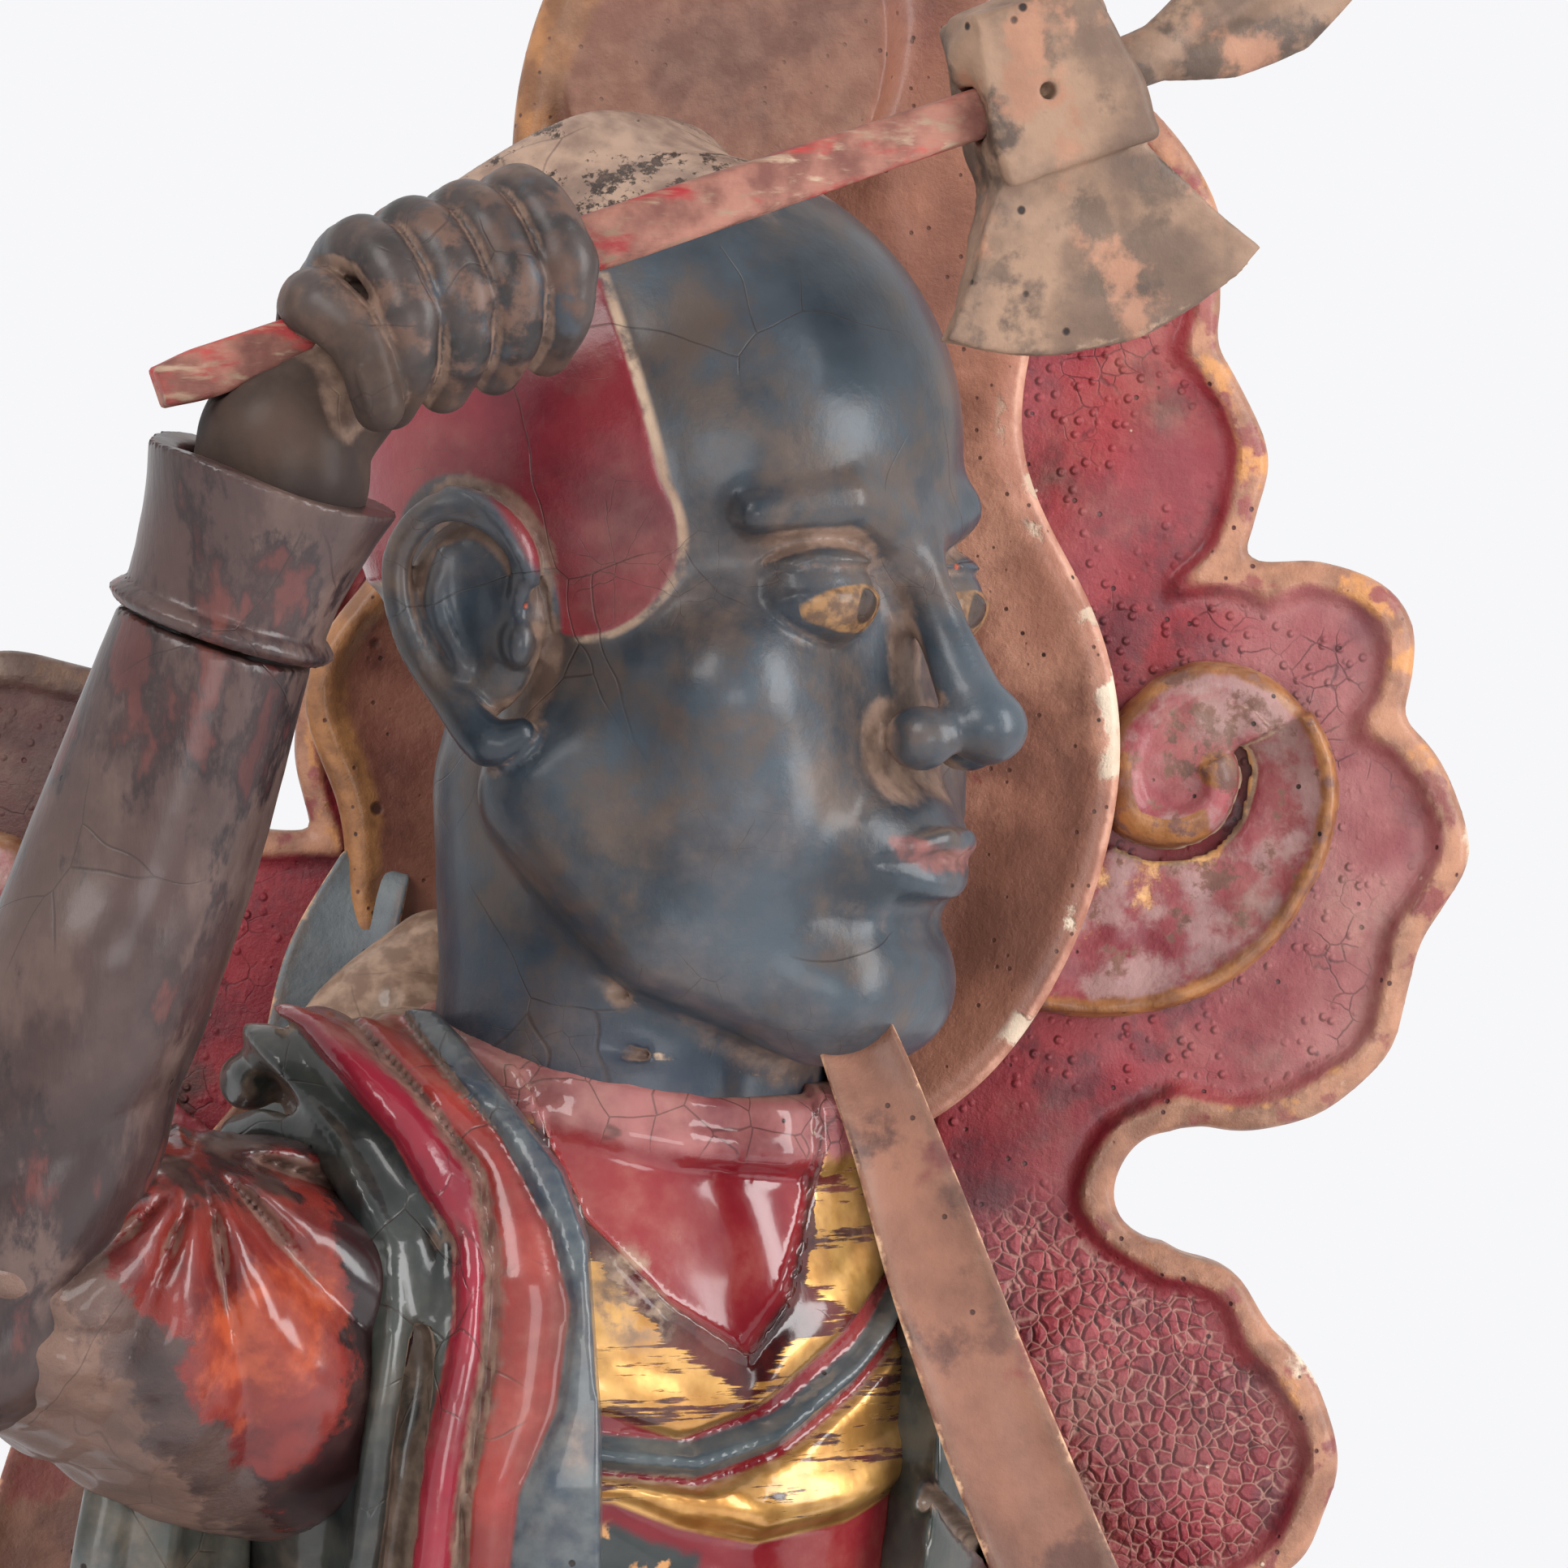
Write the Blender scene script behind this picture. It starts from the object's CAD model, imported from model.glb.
"""A lacquered and gilt carved guardian that raises an axe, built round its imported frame.

Lengths are in millimetres until a mesh is written, and the axes are the frame's: +Z up, the front
towards -Y. Most pieces are modelled like clay: rounded shapes are merged, cut and pressed on a grid
of signed distance (below 0 is inside), and the grid is then skinned. Each skin carries marks, which
are numbers on its points that tell its paint where the hollows, the edges and the painted areas are.
"""

import math

import bpy
import numpy as np
import openvdb
from mathutils import Euler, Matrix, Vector


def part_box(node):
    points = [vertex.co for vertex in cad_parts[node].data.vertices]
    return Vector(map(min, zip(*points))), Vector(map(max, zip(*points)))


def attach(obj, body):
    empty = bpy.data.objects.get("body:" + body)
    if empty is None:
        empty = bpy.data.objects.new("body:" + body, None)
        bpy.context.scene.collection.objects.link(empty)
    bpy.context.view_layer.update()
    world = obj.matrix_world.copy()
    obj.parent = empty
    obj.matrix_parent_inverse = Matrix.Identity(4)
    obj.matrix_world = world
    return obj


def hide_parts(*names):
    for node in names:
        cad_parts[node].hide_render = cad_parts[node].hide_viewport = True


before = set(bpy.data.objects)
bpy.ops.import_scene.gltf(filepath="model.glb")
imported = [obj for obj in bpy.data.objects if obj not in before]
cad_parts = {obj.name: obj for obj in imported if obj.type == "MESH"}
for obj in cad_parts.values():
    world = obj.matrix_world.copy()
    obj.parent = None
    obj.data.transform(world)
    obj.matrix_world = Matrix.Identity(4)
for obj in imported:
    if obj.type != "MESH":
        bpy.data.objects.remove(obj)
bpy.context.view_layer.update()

MM = 0.001
OUTSIDE = 40.0  # the distance that empty clay starts with
REACH = 7  # how far round a shape the clay is worked
SPECULAR = 0.28
EYE_LEVEL = 616.75


def turn(degrees):
    """The rotation matrix for three angles about X, Y and Z, as OpenSCAD's rotate() turns."""
    return np.array(Euler([math.radians(a) for a in degrees]).to_matrix())


def smooth(value, low, high):
    """0 below low, 1 above high, and an even curve between."""
    t = np.clip((value - low) / (high - low), 0, 1)
    return t * t * (3 - 2 * t)


def ridge(value, width):
    """1 on the line where value is 0, fading to 0 over width."""
    return np.exp(-((value / width) ** 2))


def curve(points, steps=6):
    """A smooth line through rows of numbers, with steps pieces between two rows."""
    p = np.array(points, float)
    p = np.vstack([2 * p[0] - p[1], p, 2 * p[-1] - p[-2]])
    t = np.linspace(0, 1, steps, endpoint=False)[:, None]
    rows = []
    for a, b, c, d in zip(p, p[1:], p[2:], p[3:]):
        rows.append(
            0.5 * (2 * b + (c - a) * t + (2 * a - 5 * b + 4 * c - d) * t**2 + (3 * b - a - 3 * c + d) * t**3)
        )
    return np.vstack([*rows, p[-2]])


# ---------- shapes: each is its lowest corner, its highest corner and its distance function ----------


def blob(at, size, angles=(0, 0, 0)):
    """An ellipsoid with half sizes size."""
    at, size, spin = np.array(at, float), np.array(size, float), turn(angles)

    def far(x, y, z):
        p = [x - at[0], y - at[1], z - at[2]]
        own = [sum(spin[i][j] * p[i] for i in range(3)) / size[j] for j in range(3)]
        once = np.sqrt(sum(q * q for q in own))
        twice = np.sqrt(sum((q / s) ** 2 for q, s in zip(own, size)))
        return once * (once - 1) / (twice + 1e-5)

    return at - size.max(), at + size.max(), far


def limb(points, radii):
    """Round cones end to end."""
    p = np.array(points, float)
    r = np.broadcast_to(np.array(radii, float), len(p))

    def far(x, y, z):
        best = None
        for a, b, ra, rb in zip(p, p[1:], r, r[1:]):
            way = b - a
            t = ((x - a[0]) * way[0] + (y - a[1]) * way[1] + (z - a[2]) * way[2]) / (way @ way)
            t = np.clip(t, 0, 1)
            gap = np.sqrt(sum((q - a[i] - t * way[i]) ** 2 for i, q in enumerate((x, y, z))))
            gap = gap - (ra + t * (rb - ra))
            best = gap if best is None else np.minimum(best, gap)
        return best

    return (p - r[:, None]).min(0), (p + r[:, None]).max(0), far


def brick(at, half, angles=(0, 0, 0), corner=0.6):
    """A box with rounded edges."""
    at, half, spin = np.array(at, float), np.array(half, float), turn(angles)
    reach = np.linalg.norm(half)

    def far(x, y, z):
        p = [x - at[0], y - at[1], z - at[2]]
        out = [abs(sum(spin[i][j] * p[i] for i in range(3))) - half[j] + corner for j in range(3)]
        past = np.sqrt(sum(np.maximum(q, 0) ** 2 for q in out))
        return past + np.minimum(np.maximum(np.maximum(out[0], out[1]), out[2]), 0) - corner

    return at - reach, at + reach, far


def both(a, b):
    """What two shapes share."""
    return np.maximum(a[0], b[0]), np.minimum(a[1], b[1]), lambda x, y, z: np.maximum(
        a[2](x, y, z), b[2](x, y, z)
    )


def side_of(point, out):
    """Everything behind a plane that faces out."""
    out = np.array(out, float) / np.linalg.norm(out)
    off = out @ np.array(point, float)
    big = np.full(3, 1e4)
    return -big, big, lambda x, y, z: x * out[0] + y * out[1] + z * out[2] - off


def column(rows):
    """An upright form through level ovals: rows of z, centre x, centre y, half width, half depth, turn."""
    rows = np.array(rows, float)
    z0, z1 = rows[0, 0], rows[-1, 0]
    reach = rows[:, 3:5].max() + np.abs(rows[:, 1:3]).max()

    def far(x, y, z):
        u, v, a, b = oval_place(rows, x, y, z)
        round_gap = (np.sqrt((u / a) ** 2 + (v / b) ** 2) - 1) * np.minimum(a, b)
        ends = np.maximum(z0 - z, z - z1)
        return np.maximum(round_gap, ends) + 0 * x

    return np.array([-reach, -reach, z0]), np.array([reach, reach, z1]), far


def oval_place(rows, x, y, z):
    """Where a point lies in its level's oval: across, back, half width and half depth."""
    rows = np.array(rows, float)
    cx, cy, a, b, spin = (np.interp(z, rows[:, 0], rows[:, i]) for i in range(1, 6))
    spin = np.radians(spin)
    u = (x - cx) * np.cos(spin) + (y - cy) * np.sin(spin)
    v = -(x - cx) * np.sin(spin) + (y - cy) * np.cos(spin)
    return u, v, a, b


# ---------- clay ----------


class Clay:
    """A block of signed distance between two corners."""

    def __init__(self, low, high, step):
        self.step = step * 1
        self.lines = [np.arange(a, b + self.step, self.step) for a, b in zip(low, high)]
        self.low = np.array([line[0] for line in self.lines])
        self.d = np.full([len(line) for line in self.lines], OUTSIDE, np.float32)

    def near(self, low, high):
        """The part of the grid between two corners, and its open coordinates."""
        part = []
        for line, a, b in zip(self.lines, low, high):
            first = int(np.clip((a - line[0]) / self.step, 0, len(line)))
            last = int(np.clip((b - line[0]) / self.step + 2, first, len(line)))
            part.append(slice(first, last))
        return tuple(part), np.meshgrid(*(n[p] for n, p in zip(self.lines, part)), indexing="ij", sparse=True)

    def add(self, shape, blend=1.0, sign=1):
        """Merges a shape in, with a fillet of about blend."""
        low, high, far = shape
        part, places = self.near(low - blend - REACH, high + blend + REACH)
        if min(self.d[part].shape) == 0:
            return self
        old, new = sign * self.d[part], far(*places).astype(np.float32)
        h = np.clip(0.5 + (new - old) / (2 * blend), 0, 1)
        self.d[part] = sign * (new + (old - new) * h - blend * h * (1 - h))
        return self

    def cut(self, shape, blend=1.0):
        """Takes a shape away."""
        return self.add(shape, blend, -1)

    def keep(self, shape):
        """Keeps only what lies in a shape."""
        places = np.meshgrid(*self.lines, indexing="ij", sparse=True)
        self.d = np.maximum(self.d, shape[2](*places)).astype(np.float32)
        return self

    def swell(self, amount, low=None, high=None):
        """Pushes the surface out by amount(x, y, z)."""
        part, places = self.near(
            self.low if low is None else low, (line[-1] for line in self.lines) if high is None else high
        )
        self.d[part] -= amount(*places)
        return self

    def read(self, points):
        """The distance at each point."""
        cell = (points - self.low) / self.step
        cell = np.clip(cell, 0, np.array(self.d.shape) - 1.001)
        i = cell.astype(int)
        f = cell - i
        total = 0
        for corner in np.ndindex(2, 2, 2):
            weight = np.prod(np.where(corner, f, 1 - f), axis=1)
            total = total + weight * self.d[tuple((i + corner).T)]
        return total

    def skin(self):
        """Points and four-sided faces of the surface, and each point's outward direction."""
        grid = openvdb.FloatGrid(OUTSIDE)
        grid.copyFromArray(np.ascontiguousarray(self.d))
        points, faces = grid.convertToQuads()
        points = self.low + points.astype(float) * self.step
        reach = self.step
        slope = np.stack([self.read(points + e) - self.read(points - e) for e in np.eye(3) * reach], axis=1)
        return points, faces[:, ::-1], slope / (np.linalg.norm(slope, axis=1)[:, None] + 1e-9)


def ride(piece, body, nodes, paint):
    """Joins a piece to its body, and says which CAD nodes it stands for."""
    piece.data.materials.append(paint)
    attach(piece, body)
    if nodes:
        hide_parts(*nodes)
    return piece


def mesh(name, points, faces, marks):
    """A mesh object out of millimetre points, four-sided faces and marks."""
    data = bpy.data.meshes.new(name)
    data.vertices.add(len(points))
    data.vertices.foreach_set("co", (np.asarray(points) * MM).ravel())
    data.loops.add(faces.size)
    data.loops.foreach_set("vertex_index", np.asarray(faces, np.int32).ravel())
    data.polygons.add(len(faces))
    data.polygons.foreach_set("loop_start", np.arange(0, faces.size, faces.shape[1], dtype=np.int32))
    for key, value in marks.items():
        layer = data.attributes.new(key, "FLOAT", "POINT")
        layer.data.foreach_set("value", np.broadcast_to(value, len(points)).astype(np.float32))
    data.update(calc_edges=True)
    data.shade_smooth()
    piece = bpy.data.objects.new(name, data)
    bpy.context.scene.collection.objects.link(piece)
    return piece


def carving(name, clay, body, nodes, paint, marks=(), place=None):
    """Skins clay and marks its hollows and edges. marks maps a name to a function of the points."""
    points, faces, out = clay.skin()
    hollow = sum(np.clip(1 - clay.read(points + out * h) / h, 0, 1) for h in (1.5, 3.5, 6)) / 3
    edge = sum(np.clip(1 + clay.read(points - out * h) / h, 0, 1) for h in (1.2, 2.5)) / 2
    found = {"hollow": hollow, "edge": edge, "up": out[:, 2]}
    for key, f in dict(marks).items():
        found[key] = f(*points.T)
    if place is not None:
        spin, at = place
        points = points @ np.array(spin).T + np.array(at)
    return ride(mesh(name, points, faces, found), body, nodes, paint)


# ---------- paint ----------


def shade(red, green, blue):
    """A screen colour, 0 to 255, as light."""
    return tuple(
        ((c / 255 + 0.055) / 1.055) ** 2.4 if c > 10 else c / 255 / 12.92 for c in (red, green, blue)
    ) + (1,)


class Paint:
    """A material, built in layers. Every size is in mm, and every mask runs from 0 to 1."""

    def __init__(self, name):
        self.material = bpy.data.materials.new(name)
        self.material.use_nodes = True
        self.tree = self.material.node_tree
        self.shader = self.tree.nodes["Principled BSDF"]
        where = self.tree.nodes.new("ShaderNodeTexCoord").outputs["Object"]
        self.place = self.node("VectorMath", {0: where, 3: 1 / MM}, operation="SCALE")
        self.colour, self.rough, self.height = shade(128, 128, 128), 0.5, 0.0

    def node(self, kind, inputs, out=0, **settings):
        made = self.tree.nodes.new("ShaderNode" + kind)
        for key, value in settings.items():
            setattr(made, key, value)
        for key, value in inputs.items():
            if isinstance(value, bpy.types.NodeSocket):
                self.tree.links.new(value, made.inputs[key])
            else:
                made.inputs[key].default_value = value
        return made.outputs[out]

    def sum(self, kind, a, b=0.0):
        return self.node("Math", {0: a, 1: b}, operation=kind)

    def mark(self, name):
        return self.node("Attribute", {}, "Fac", attribute_name=name)

    def stretched(self, stretch):
        return self.node("VectorMath", {0: self.place, 1: stretch}, operation="MULTIPLY")

    def noise(self, size, detail=5.0, stretch=(1, 1, 1), rough=0.55, warp=0.0):
        inputs = {
            "Vector": self.stretched(stretch), "Scale": 1 / size, "Detail": detail, "Roughness": rough,
            "Distortion": warp
        }
        return self.node("TexNoise", inputs, "Fac")

    def cells(self, size, feature="F1", out="Distance", wobble=0.0, stretch=(1, 1, 1)):
        place = self.stretched(stretch)
        if wobble:
            shift = self.node("TexNoise", {"Vector": place, "Scale": 0.6 / size, "Detail": 3.0}, "Color")
            shift = self.node("VectorMath", {0: shift, 3: wobble * size}, operation="SCALE")
            place = self.node("VectorMath", {0: place, 1: shift}, operation="ADD")
        return self.node("TexVoronoi", {"Vector": place, "Scale": 1 / size}, out, feature=feature)

    def step(self, value, low, high):
        """A mask that is 0 below low and 1 above high; the other way round if low is the larger."""
        inputs = {"Value": value, "From Min": low, "From Max": high}
        return self.node("MapRange", inputs, interpolation_type="SMOOTHSTEP")

    def all_of(self, *masks):
        out = masks[0]
        for m in masks[1:]:
            out = self.sum("MULTIPLY", out, m)
        return out

    def any_of(self, *masks):
        out = masks[0]
        for m in masks[1:]:
            out = self.sum("MAXIMUM", out, m)
        return out

    def blend(self, a, b, mask):
        inputs = {0: mask, 6: a, 7: b}
        return self.node("Mix", inputs, 2, data_type="RGBA")

    def coat(self, colours, mask=1.0, rough=None, height=None, size=22.0):
        """One layer of colour, mottled between two shades, with its own roughness and thickness."""
        mottle = self.step(self.noise(size, 6.0), 0.35, 0.65)
        over = self.blend(colours[0], colours[1], mottle)
        self.colour = over if mask == 1.0 else self.blend(self.colour, over, mask)
        if rough is not None:
            self.rough = rough if mask == 1.0 else self.node("Mix", {0: mask, 2: self.rough, 3: rough})
        if height is not None:
            self.raise_by(height, mask)
        return self

    def raise_by(self, height, mask):
        """Lifts the surface by height where the mask is 1."""
        self.height = self.sum("ADD", self.sum("MULTIPLY", mask, height), self.height)
        return self

    def near_mark(self, name, low, high, fray=0.0, size=3.0):
        """A mask from a mark, with a frayed edge."""
        value = self.mark(name)
        if fray:
            value = self.sum(
                "ADD", value, self.sum("MULTIPLY", self.sum("SUBTRACT", self.noise(size, 6.0), 0.5), fray)
            )
        return self.step(value, low, high)

    def craquelure(self, size, width=0.05, mask=1.0, depth=-0.12, colour=shade(40, 28, 24), wobble=0.25):
        """Fine cracks round cells of about size."""
        line = self.step(self.cells(size, "DISTANCE_TO_EDGE", wobble=wobble), width, 0.0)
        line = self.all_of(line, mask)
        self.colour = self.blend(self.colour, colour, self.sum("MULTIPLY", line, 0.6))
        return self.raise_by(depth, line)

    def pits(self, size, radius, colour=shade(30, 18, 15), share=0.35, depth=-0.3):
        """Round holes and flecks, in some cells only."""
        dot = self.step(self.cells(size), radius / size, radius / size * 0.5)
        lucky = self.node("SeparateColor", {0: self.cells(size, out="Color")}, 0)
        dot = self.all_of(dot, self.step(lucky, 1 - share, 1.02 - share))
        self.colour = self.blend(self.colour, colour, dot)
        return self.raise_by(depth, dot)

    def dust(self, amount=1.0, colours=(shade(128, 100, 82), shade(170, 145, 122)), low=0.30, high=0.62):
        """Dust in the hollows and on what faces up, and in a thin uneven film."""
        grain = self.sum("MULTIPLY", self.sum("SUBTRACT", self.noise(5.0, 8.0, rough=0.7), 0.5), 0.55)
        lodged = self.step(self.sum("ADD", self.mark("hollow"), grain), low, high)
        lying = self.all_of(
            self.step(self.mark("up"), 0.55, 1.0), self.step(self.noise(14.0, 7.0), 0.42, 0.62)
        )
        film = self.sum("MULTIPLY", self.step(self.noise(30.0, 8.0, rough=0.65), 0.45, 0.75), 0.35)
        mask = self.sum("MULTIPLY", self.any_of(lodged, self.sum("MULTIPLY", lying, 0.6), film), amount)
        return self.coat(colours, mask, rough=0.85, size=4.0)

    def wear(self, colours, low=0.72, high=0.9, rough=0.7, size=4.0, depth=-0.15):
        """Paint rubbed off along the edges."""
        grain = self.sum("MULTIPLY", self.sum("SUBTRACT", self.noise(size, 8.0, rough=0.65), 0.5), 0.7)
        mask = self.step(self.sum("ADD", self.mark("edge"), grain), low, high)
        return self.coat(colours, mask, rough=rough, height=depth, size=3.0)

    def done(self, coat=0.0, coat_rough=0.15, metal=None, grain=0.03):
        """Links the layers to the shader."""
        fine = self.sum("MULTIPLY", self.noise(1.2, 4.0), grain)
        slow = self.sum("MULTIPLY", self.noise(9.0, 3.0), grain * 6)
        height = self.sum("ADD", self.sum("ADD", self.height, fine), slow)
        bump = self.node("Bump", {"Strength": 1.0, "Distance": MM, "Height": height})
        self.shader.inputs["Specular IOR Level"].default_value = SPECULAR
        for key, value in {
            "Base Color": self.colour, "Roughness": self.rough, "Normal": bump, "Metallic": metal
        }.items():
            if isinstance(value, bpy.types.NodeSocket):
                self.tree.links.new(value, self.shader.inputs[key])
            elif value is not None:
                self.shader.inputs[key].default_value = value
        self.shader.inputs["Coat Weight"].default_value = coat
        self.shader.inputs["Coat Roughness"].default_value = coat_rough
        return self.material


# ---------- colours ----------

BLUE = (shade(30, 38, 46), shade(58, 67, 75))
CRIMSON = (shade(86, 24, 34), shade(124, 42, 50))
OCHRE = (shade(158, 104, 56), shade(204, 148, 92))
GOLD = (shade(170, 120, 60), shade(208, 160, 92))
BOLE = (shade(44, 16, 18), shade(84, 28, 26))
TEAL = (shade(28, 34, 34), shade(62, 68, 62))
GESSO = (shade(176, 150, 128), shade(212, 194, 172))
DUST = (shade(120, 94, 78), shade(168, 144, 122))
GRIME = (shade(40, 30, 27), shade(66, 50, 42))
AXE = (shade(92, 72, 60), shade(136, 108, 88))
POLE = (shade(100, 60, 52), shade(144, 98, 84))
BARE = (shade(150, 112, 78), shade(186, 150, 112))


# ---------- head ----------

HEAD_AT = (3, -14, 645)
HEAD_TURN = 60


def hair_line(x, y, z):
    """How far inside the hair a point on the side of the head lies. The face looks to -Y, the eyes at z = 0.

    The hair is a rounded lobe on the temple with a swept line above it that runs back over the crown.
    """
    lobe = 15 - np.hypot(y + 8, (z - 9) * 0.95)
    swept = (y + 22 - 0.0075 * np.maximum(z - 8, 0) ** 2 * 1.1) * 0.8
    above = z - 4 - 0.10 * (y + 10)
    ear = np.hypot((y - 12) / 17, (z + 4) / 22) * 17 - 15
    upper = np.minimum(swept, above)
    behind = np.minimum(y - 20, z - 2)
    hair = np.maximum(np.maximum(lobe, upper), behind)
    return np.minimum(np.minimum(hair, ear), 46 - z + 0 * x)


def model_head():
    clay = Clay((-56, -72, -84), (56, 54, 74), 0.85)
    clay.add(blob((0, 4, 22), (42, 46.5, 47)))
    clay.add(blob((0, -7, 24), (37, 38, 38)), 8)
    clay.add(blob((0, -10, -18), (36.5, 32, 40)), 10)
    clay.add(blob((0, -31, -56), (15, 13, 12)), 12)
    for s in (-1, 1):
        clay.add(limb([(s * 33, 2, -30), (s * 26, -14, -50), (s * 10, -32, -59)], [9, 9, 9]), 12)
        clay.add(blob((s * 24, -27, -15), (13, 11, 12)), 9)
        clay.add(blob((s * 17, -25, -34), (15, 14, 15)), 10)
    # eyes: sockets, balls, then the lids that nearly close over them
    for s in (-1, 1):
        clay.cut(blob((s * 17.5, -49, 1), (13, 8.5, 7.5)), 7)
        clay.add(limb([(s * 5, -42, 9), (s * 17, -41.5, 13), (s * 30, -33, 11)], [2.6, 3, 2]), 6)
        clay.add(blob((s * 17, -34.5, -0.5), (10, 9.5, 7.5)), 1.5)
        lid = both(blob((s * 17, -35, 0), (11, 10.2, 8.2)), side_of((0, 0, -1.0), (0, -0.12, -1)))
        clay.add(lid, 0.9)
        low_lid = both(blob((s * 17, -35, -0.8), (10.8, 9.9, 7.6)), side_of((0, 0, -4.4), (0, 0.1, 1)))
        clay.add(low_lid, 0.8)
        fold = curve([(s * 6.5, -42.5, 1.5), (s * 12, -45.3, 6.2), (s * 19, -45, 6.8), (s * 28, -38, 1.5)], 4)
        clay.cut(limb(fold, 0.55), 1.3)
    # nose
    clay.add(limb([(0, -42, 8), (0, -48, -6), (0, -54, -19)], [3.6, 3.8, 5.2]), 5)
    clay.add(blob((0, -55.5, -20), (6, 5.5, 5.2)), 3)
    for s in (-1, 1):
        clay.add(blob((s * 7.2, -48, -21.5), (4.6, 5.6, 4.8)), 2.5)
        clay.cut(blob((s * 3.8, -52, -26.3), (2.3, 3.4, 2.4)), 1.2)
        clay.cut(limb([(s * 11, -45, -22), (s * 15.5, -42.5, -33)], [0.7, 1.0]), 3.5)
    # mouth, closed
    clay.add(blob((0, -39, -38), (17, 9.5, 10)), 6)
    lip = [(-13.5, -43.2, -39.4), (-8, -47.6, -37.6), (-3, -49.6, -36.4), (0, -49.4, -37.1)]
    lip += [(-x, y, z) for x, y, z in lip[-2::-1]]
    clay.add(limb(curve(lip, 3), np.interp(range(19), (0, 9, 18), (0.8, 2.2, 0.8))), 1.6)
    clay.add(
        limb(
            curve([(-11, -43.6, -41), (0, -47.2, -42.8), (11, -43.6, -41)], 5),
            [1, 2, 2.6, 2.9, 3, 3, 3, 2.9, 2.6, 2, 1]
        ),
        2
    )
    slit = curve(
        [(-13.8, -44.6, -39.7), (-6, -50, -39.4), (0, -51.6, -39.9), (6, -50, -39.4), (13.8, -44.6, -39.7)], 3
    )
    clay.cut(limb(slit, 0.5), 1.2)
    clay.cut(limb([(0, -51.5, -28), (0, -51.5, -33.5)], [1.0, 1.2]), 2.5)
    clay.cut(limb([(-6, -45.5, -49), (6, -45.5, -49)], 1.3), 5)
    # neck
    clay.add(limb([(2, 8, -84), (1, 8, -55), (0, 9, -30)], [31, 28.5, 28]), 7)
    for height in (-63, -72):
        clay.cut(limb(curve([(-28, -4, height + 5), (0, -20, height), (28, -4, height + 5)], 6), 0.6), 2.2)
    # ears
    for s in (-1, 1):
        rim = [
            (41, 1, -3), (43, -1, 5), (45, 4, 11), (46.5, 12, 12), (47, 18, 5), (46, 17, -6), (44, 11, -15),
            (42.5, 5, -22), (40.5, 1, -21)
        ]
        rim = curve([(s * x, y, z) for x, y, z in rim], 4)
        clay.add(blob((s * 40.5, 9, -4), (4, 11, 15), (0, 0, s * -14)), 2)
        clay.add(limb(rim, np.interp(range(len(rim)), (0, 8, 20, 28, 32), (1.6, 2.2, 2.2, 3.8, 2.6))), 1.2)
        clay.cut(blob((s * 46, 8, -4), (3.4, 5.5, 10.5), (0, 0, s * -14)), 1.8)
        clay.add(limb(curve([(s * 43.5, 12, 6), (s * 44.6, 13, -2), (s * 43.4, 9, -11)], 4), 1.5), 1.6)
        clay.add(blob((s * 41.5, 0.5, -7.5), (2.6, 2.6, 3.8)), 1.5)
    # hair stands up as a thick coat with a raised line
    far = clay.d.copy()
    clay.swell(
        lambda x, y, z: 0.8 * smooth(hair_line(x, y, z), -0.5, 0.6) + 0.35 * ridge(hair_line(x, y, z), 0.8)
    )
    clay.d = np.where(abs(far) < 6, clay.d, far)
    # the scarf starts in a ragged ledge over the crown
    clay.add(limb(curve([(-26, 30, 50), (-12, 8, 66), (10, 4, 68), (28, 24, 54)], 6), 6.5), 7)
    clay.cut(blob((0, -4, 78), (22, 12, 6), (20, 0, 0)), 6)
    clay.keep(side_of((0, 0, -76.9), (0, 0, -1)))
    spin = turn((0, 0, HEAD_TURN))
    back = spin.T @ np.array((0, 1, 0))
    clay.keep(side_of(spin.T @ np.array((0, 48, 0)), back))
    marks = {
        "hair": hair_line,
        "ear_gap": lambda x, y, z: np.hypot((y - 12) / 17, (z + 4) / 22) * 17 - 15,
        "crown": lambda x, y, z: z - 52 + 0.25 * (y - 10) - 0.1 * x,
        "eye": lambda x, y, z: 8.2 - np.hypot((abs(x) - 17) * 0.8, (z + 2.6) * 2.2) - 20 * (y > -38),
        "pupil": lambda x, y, z: 2.7 - np.hypot(abs(x) - 17, z + 2.2) - 20 * (y > -38),
        "lip": lambda x, y, z: 2.9 - abs(
            z + 39.7 - 0.02 * x * x
        ) - np.maximum(abs(x) - 11, 0) - 20 * (y > -40),
        "throat": lambda x, y, z: -z - 52 + 0.55 * y,
    }
    return carving(
        "head_carving", clay, "figure", ["head"], paint_head(), marks, (spin, HEAD_AT)
    )


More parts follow.
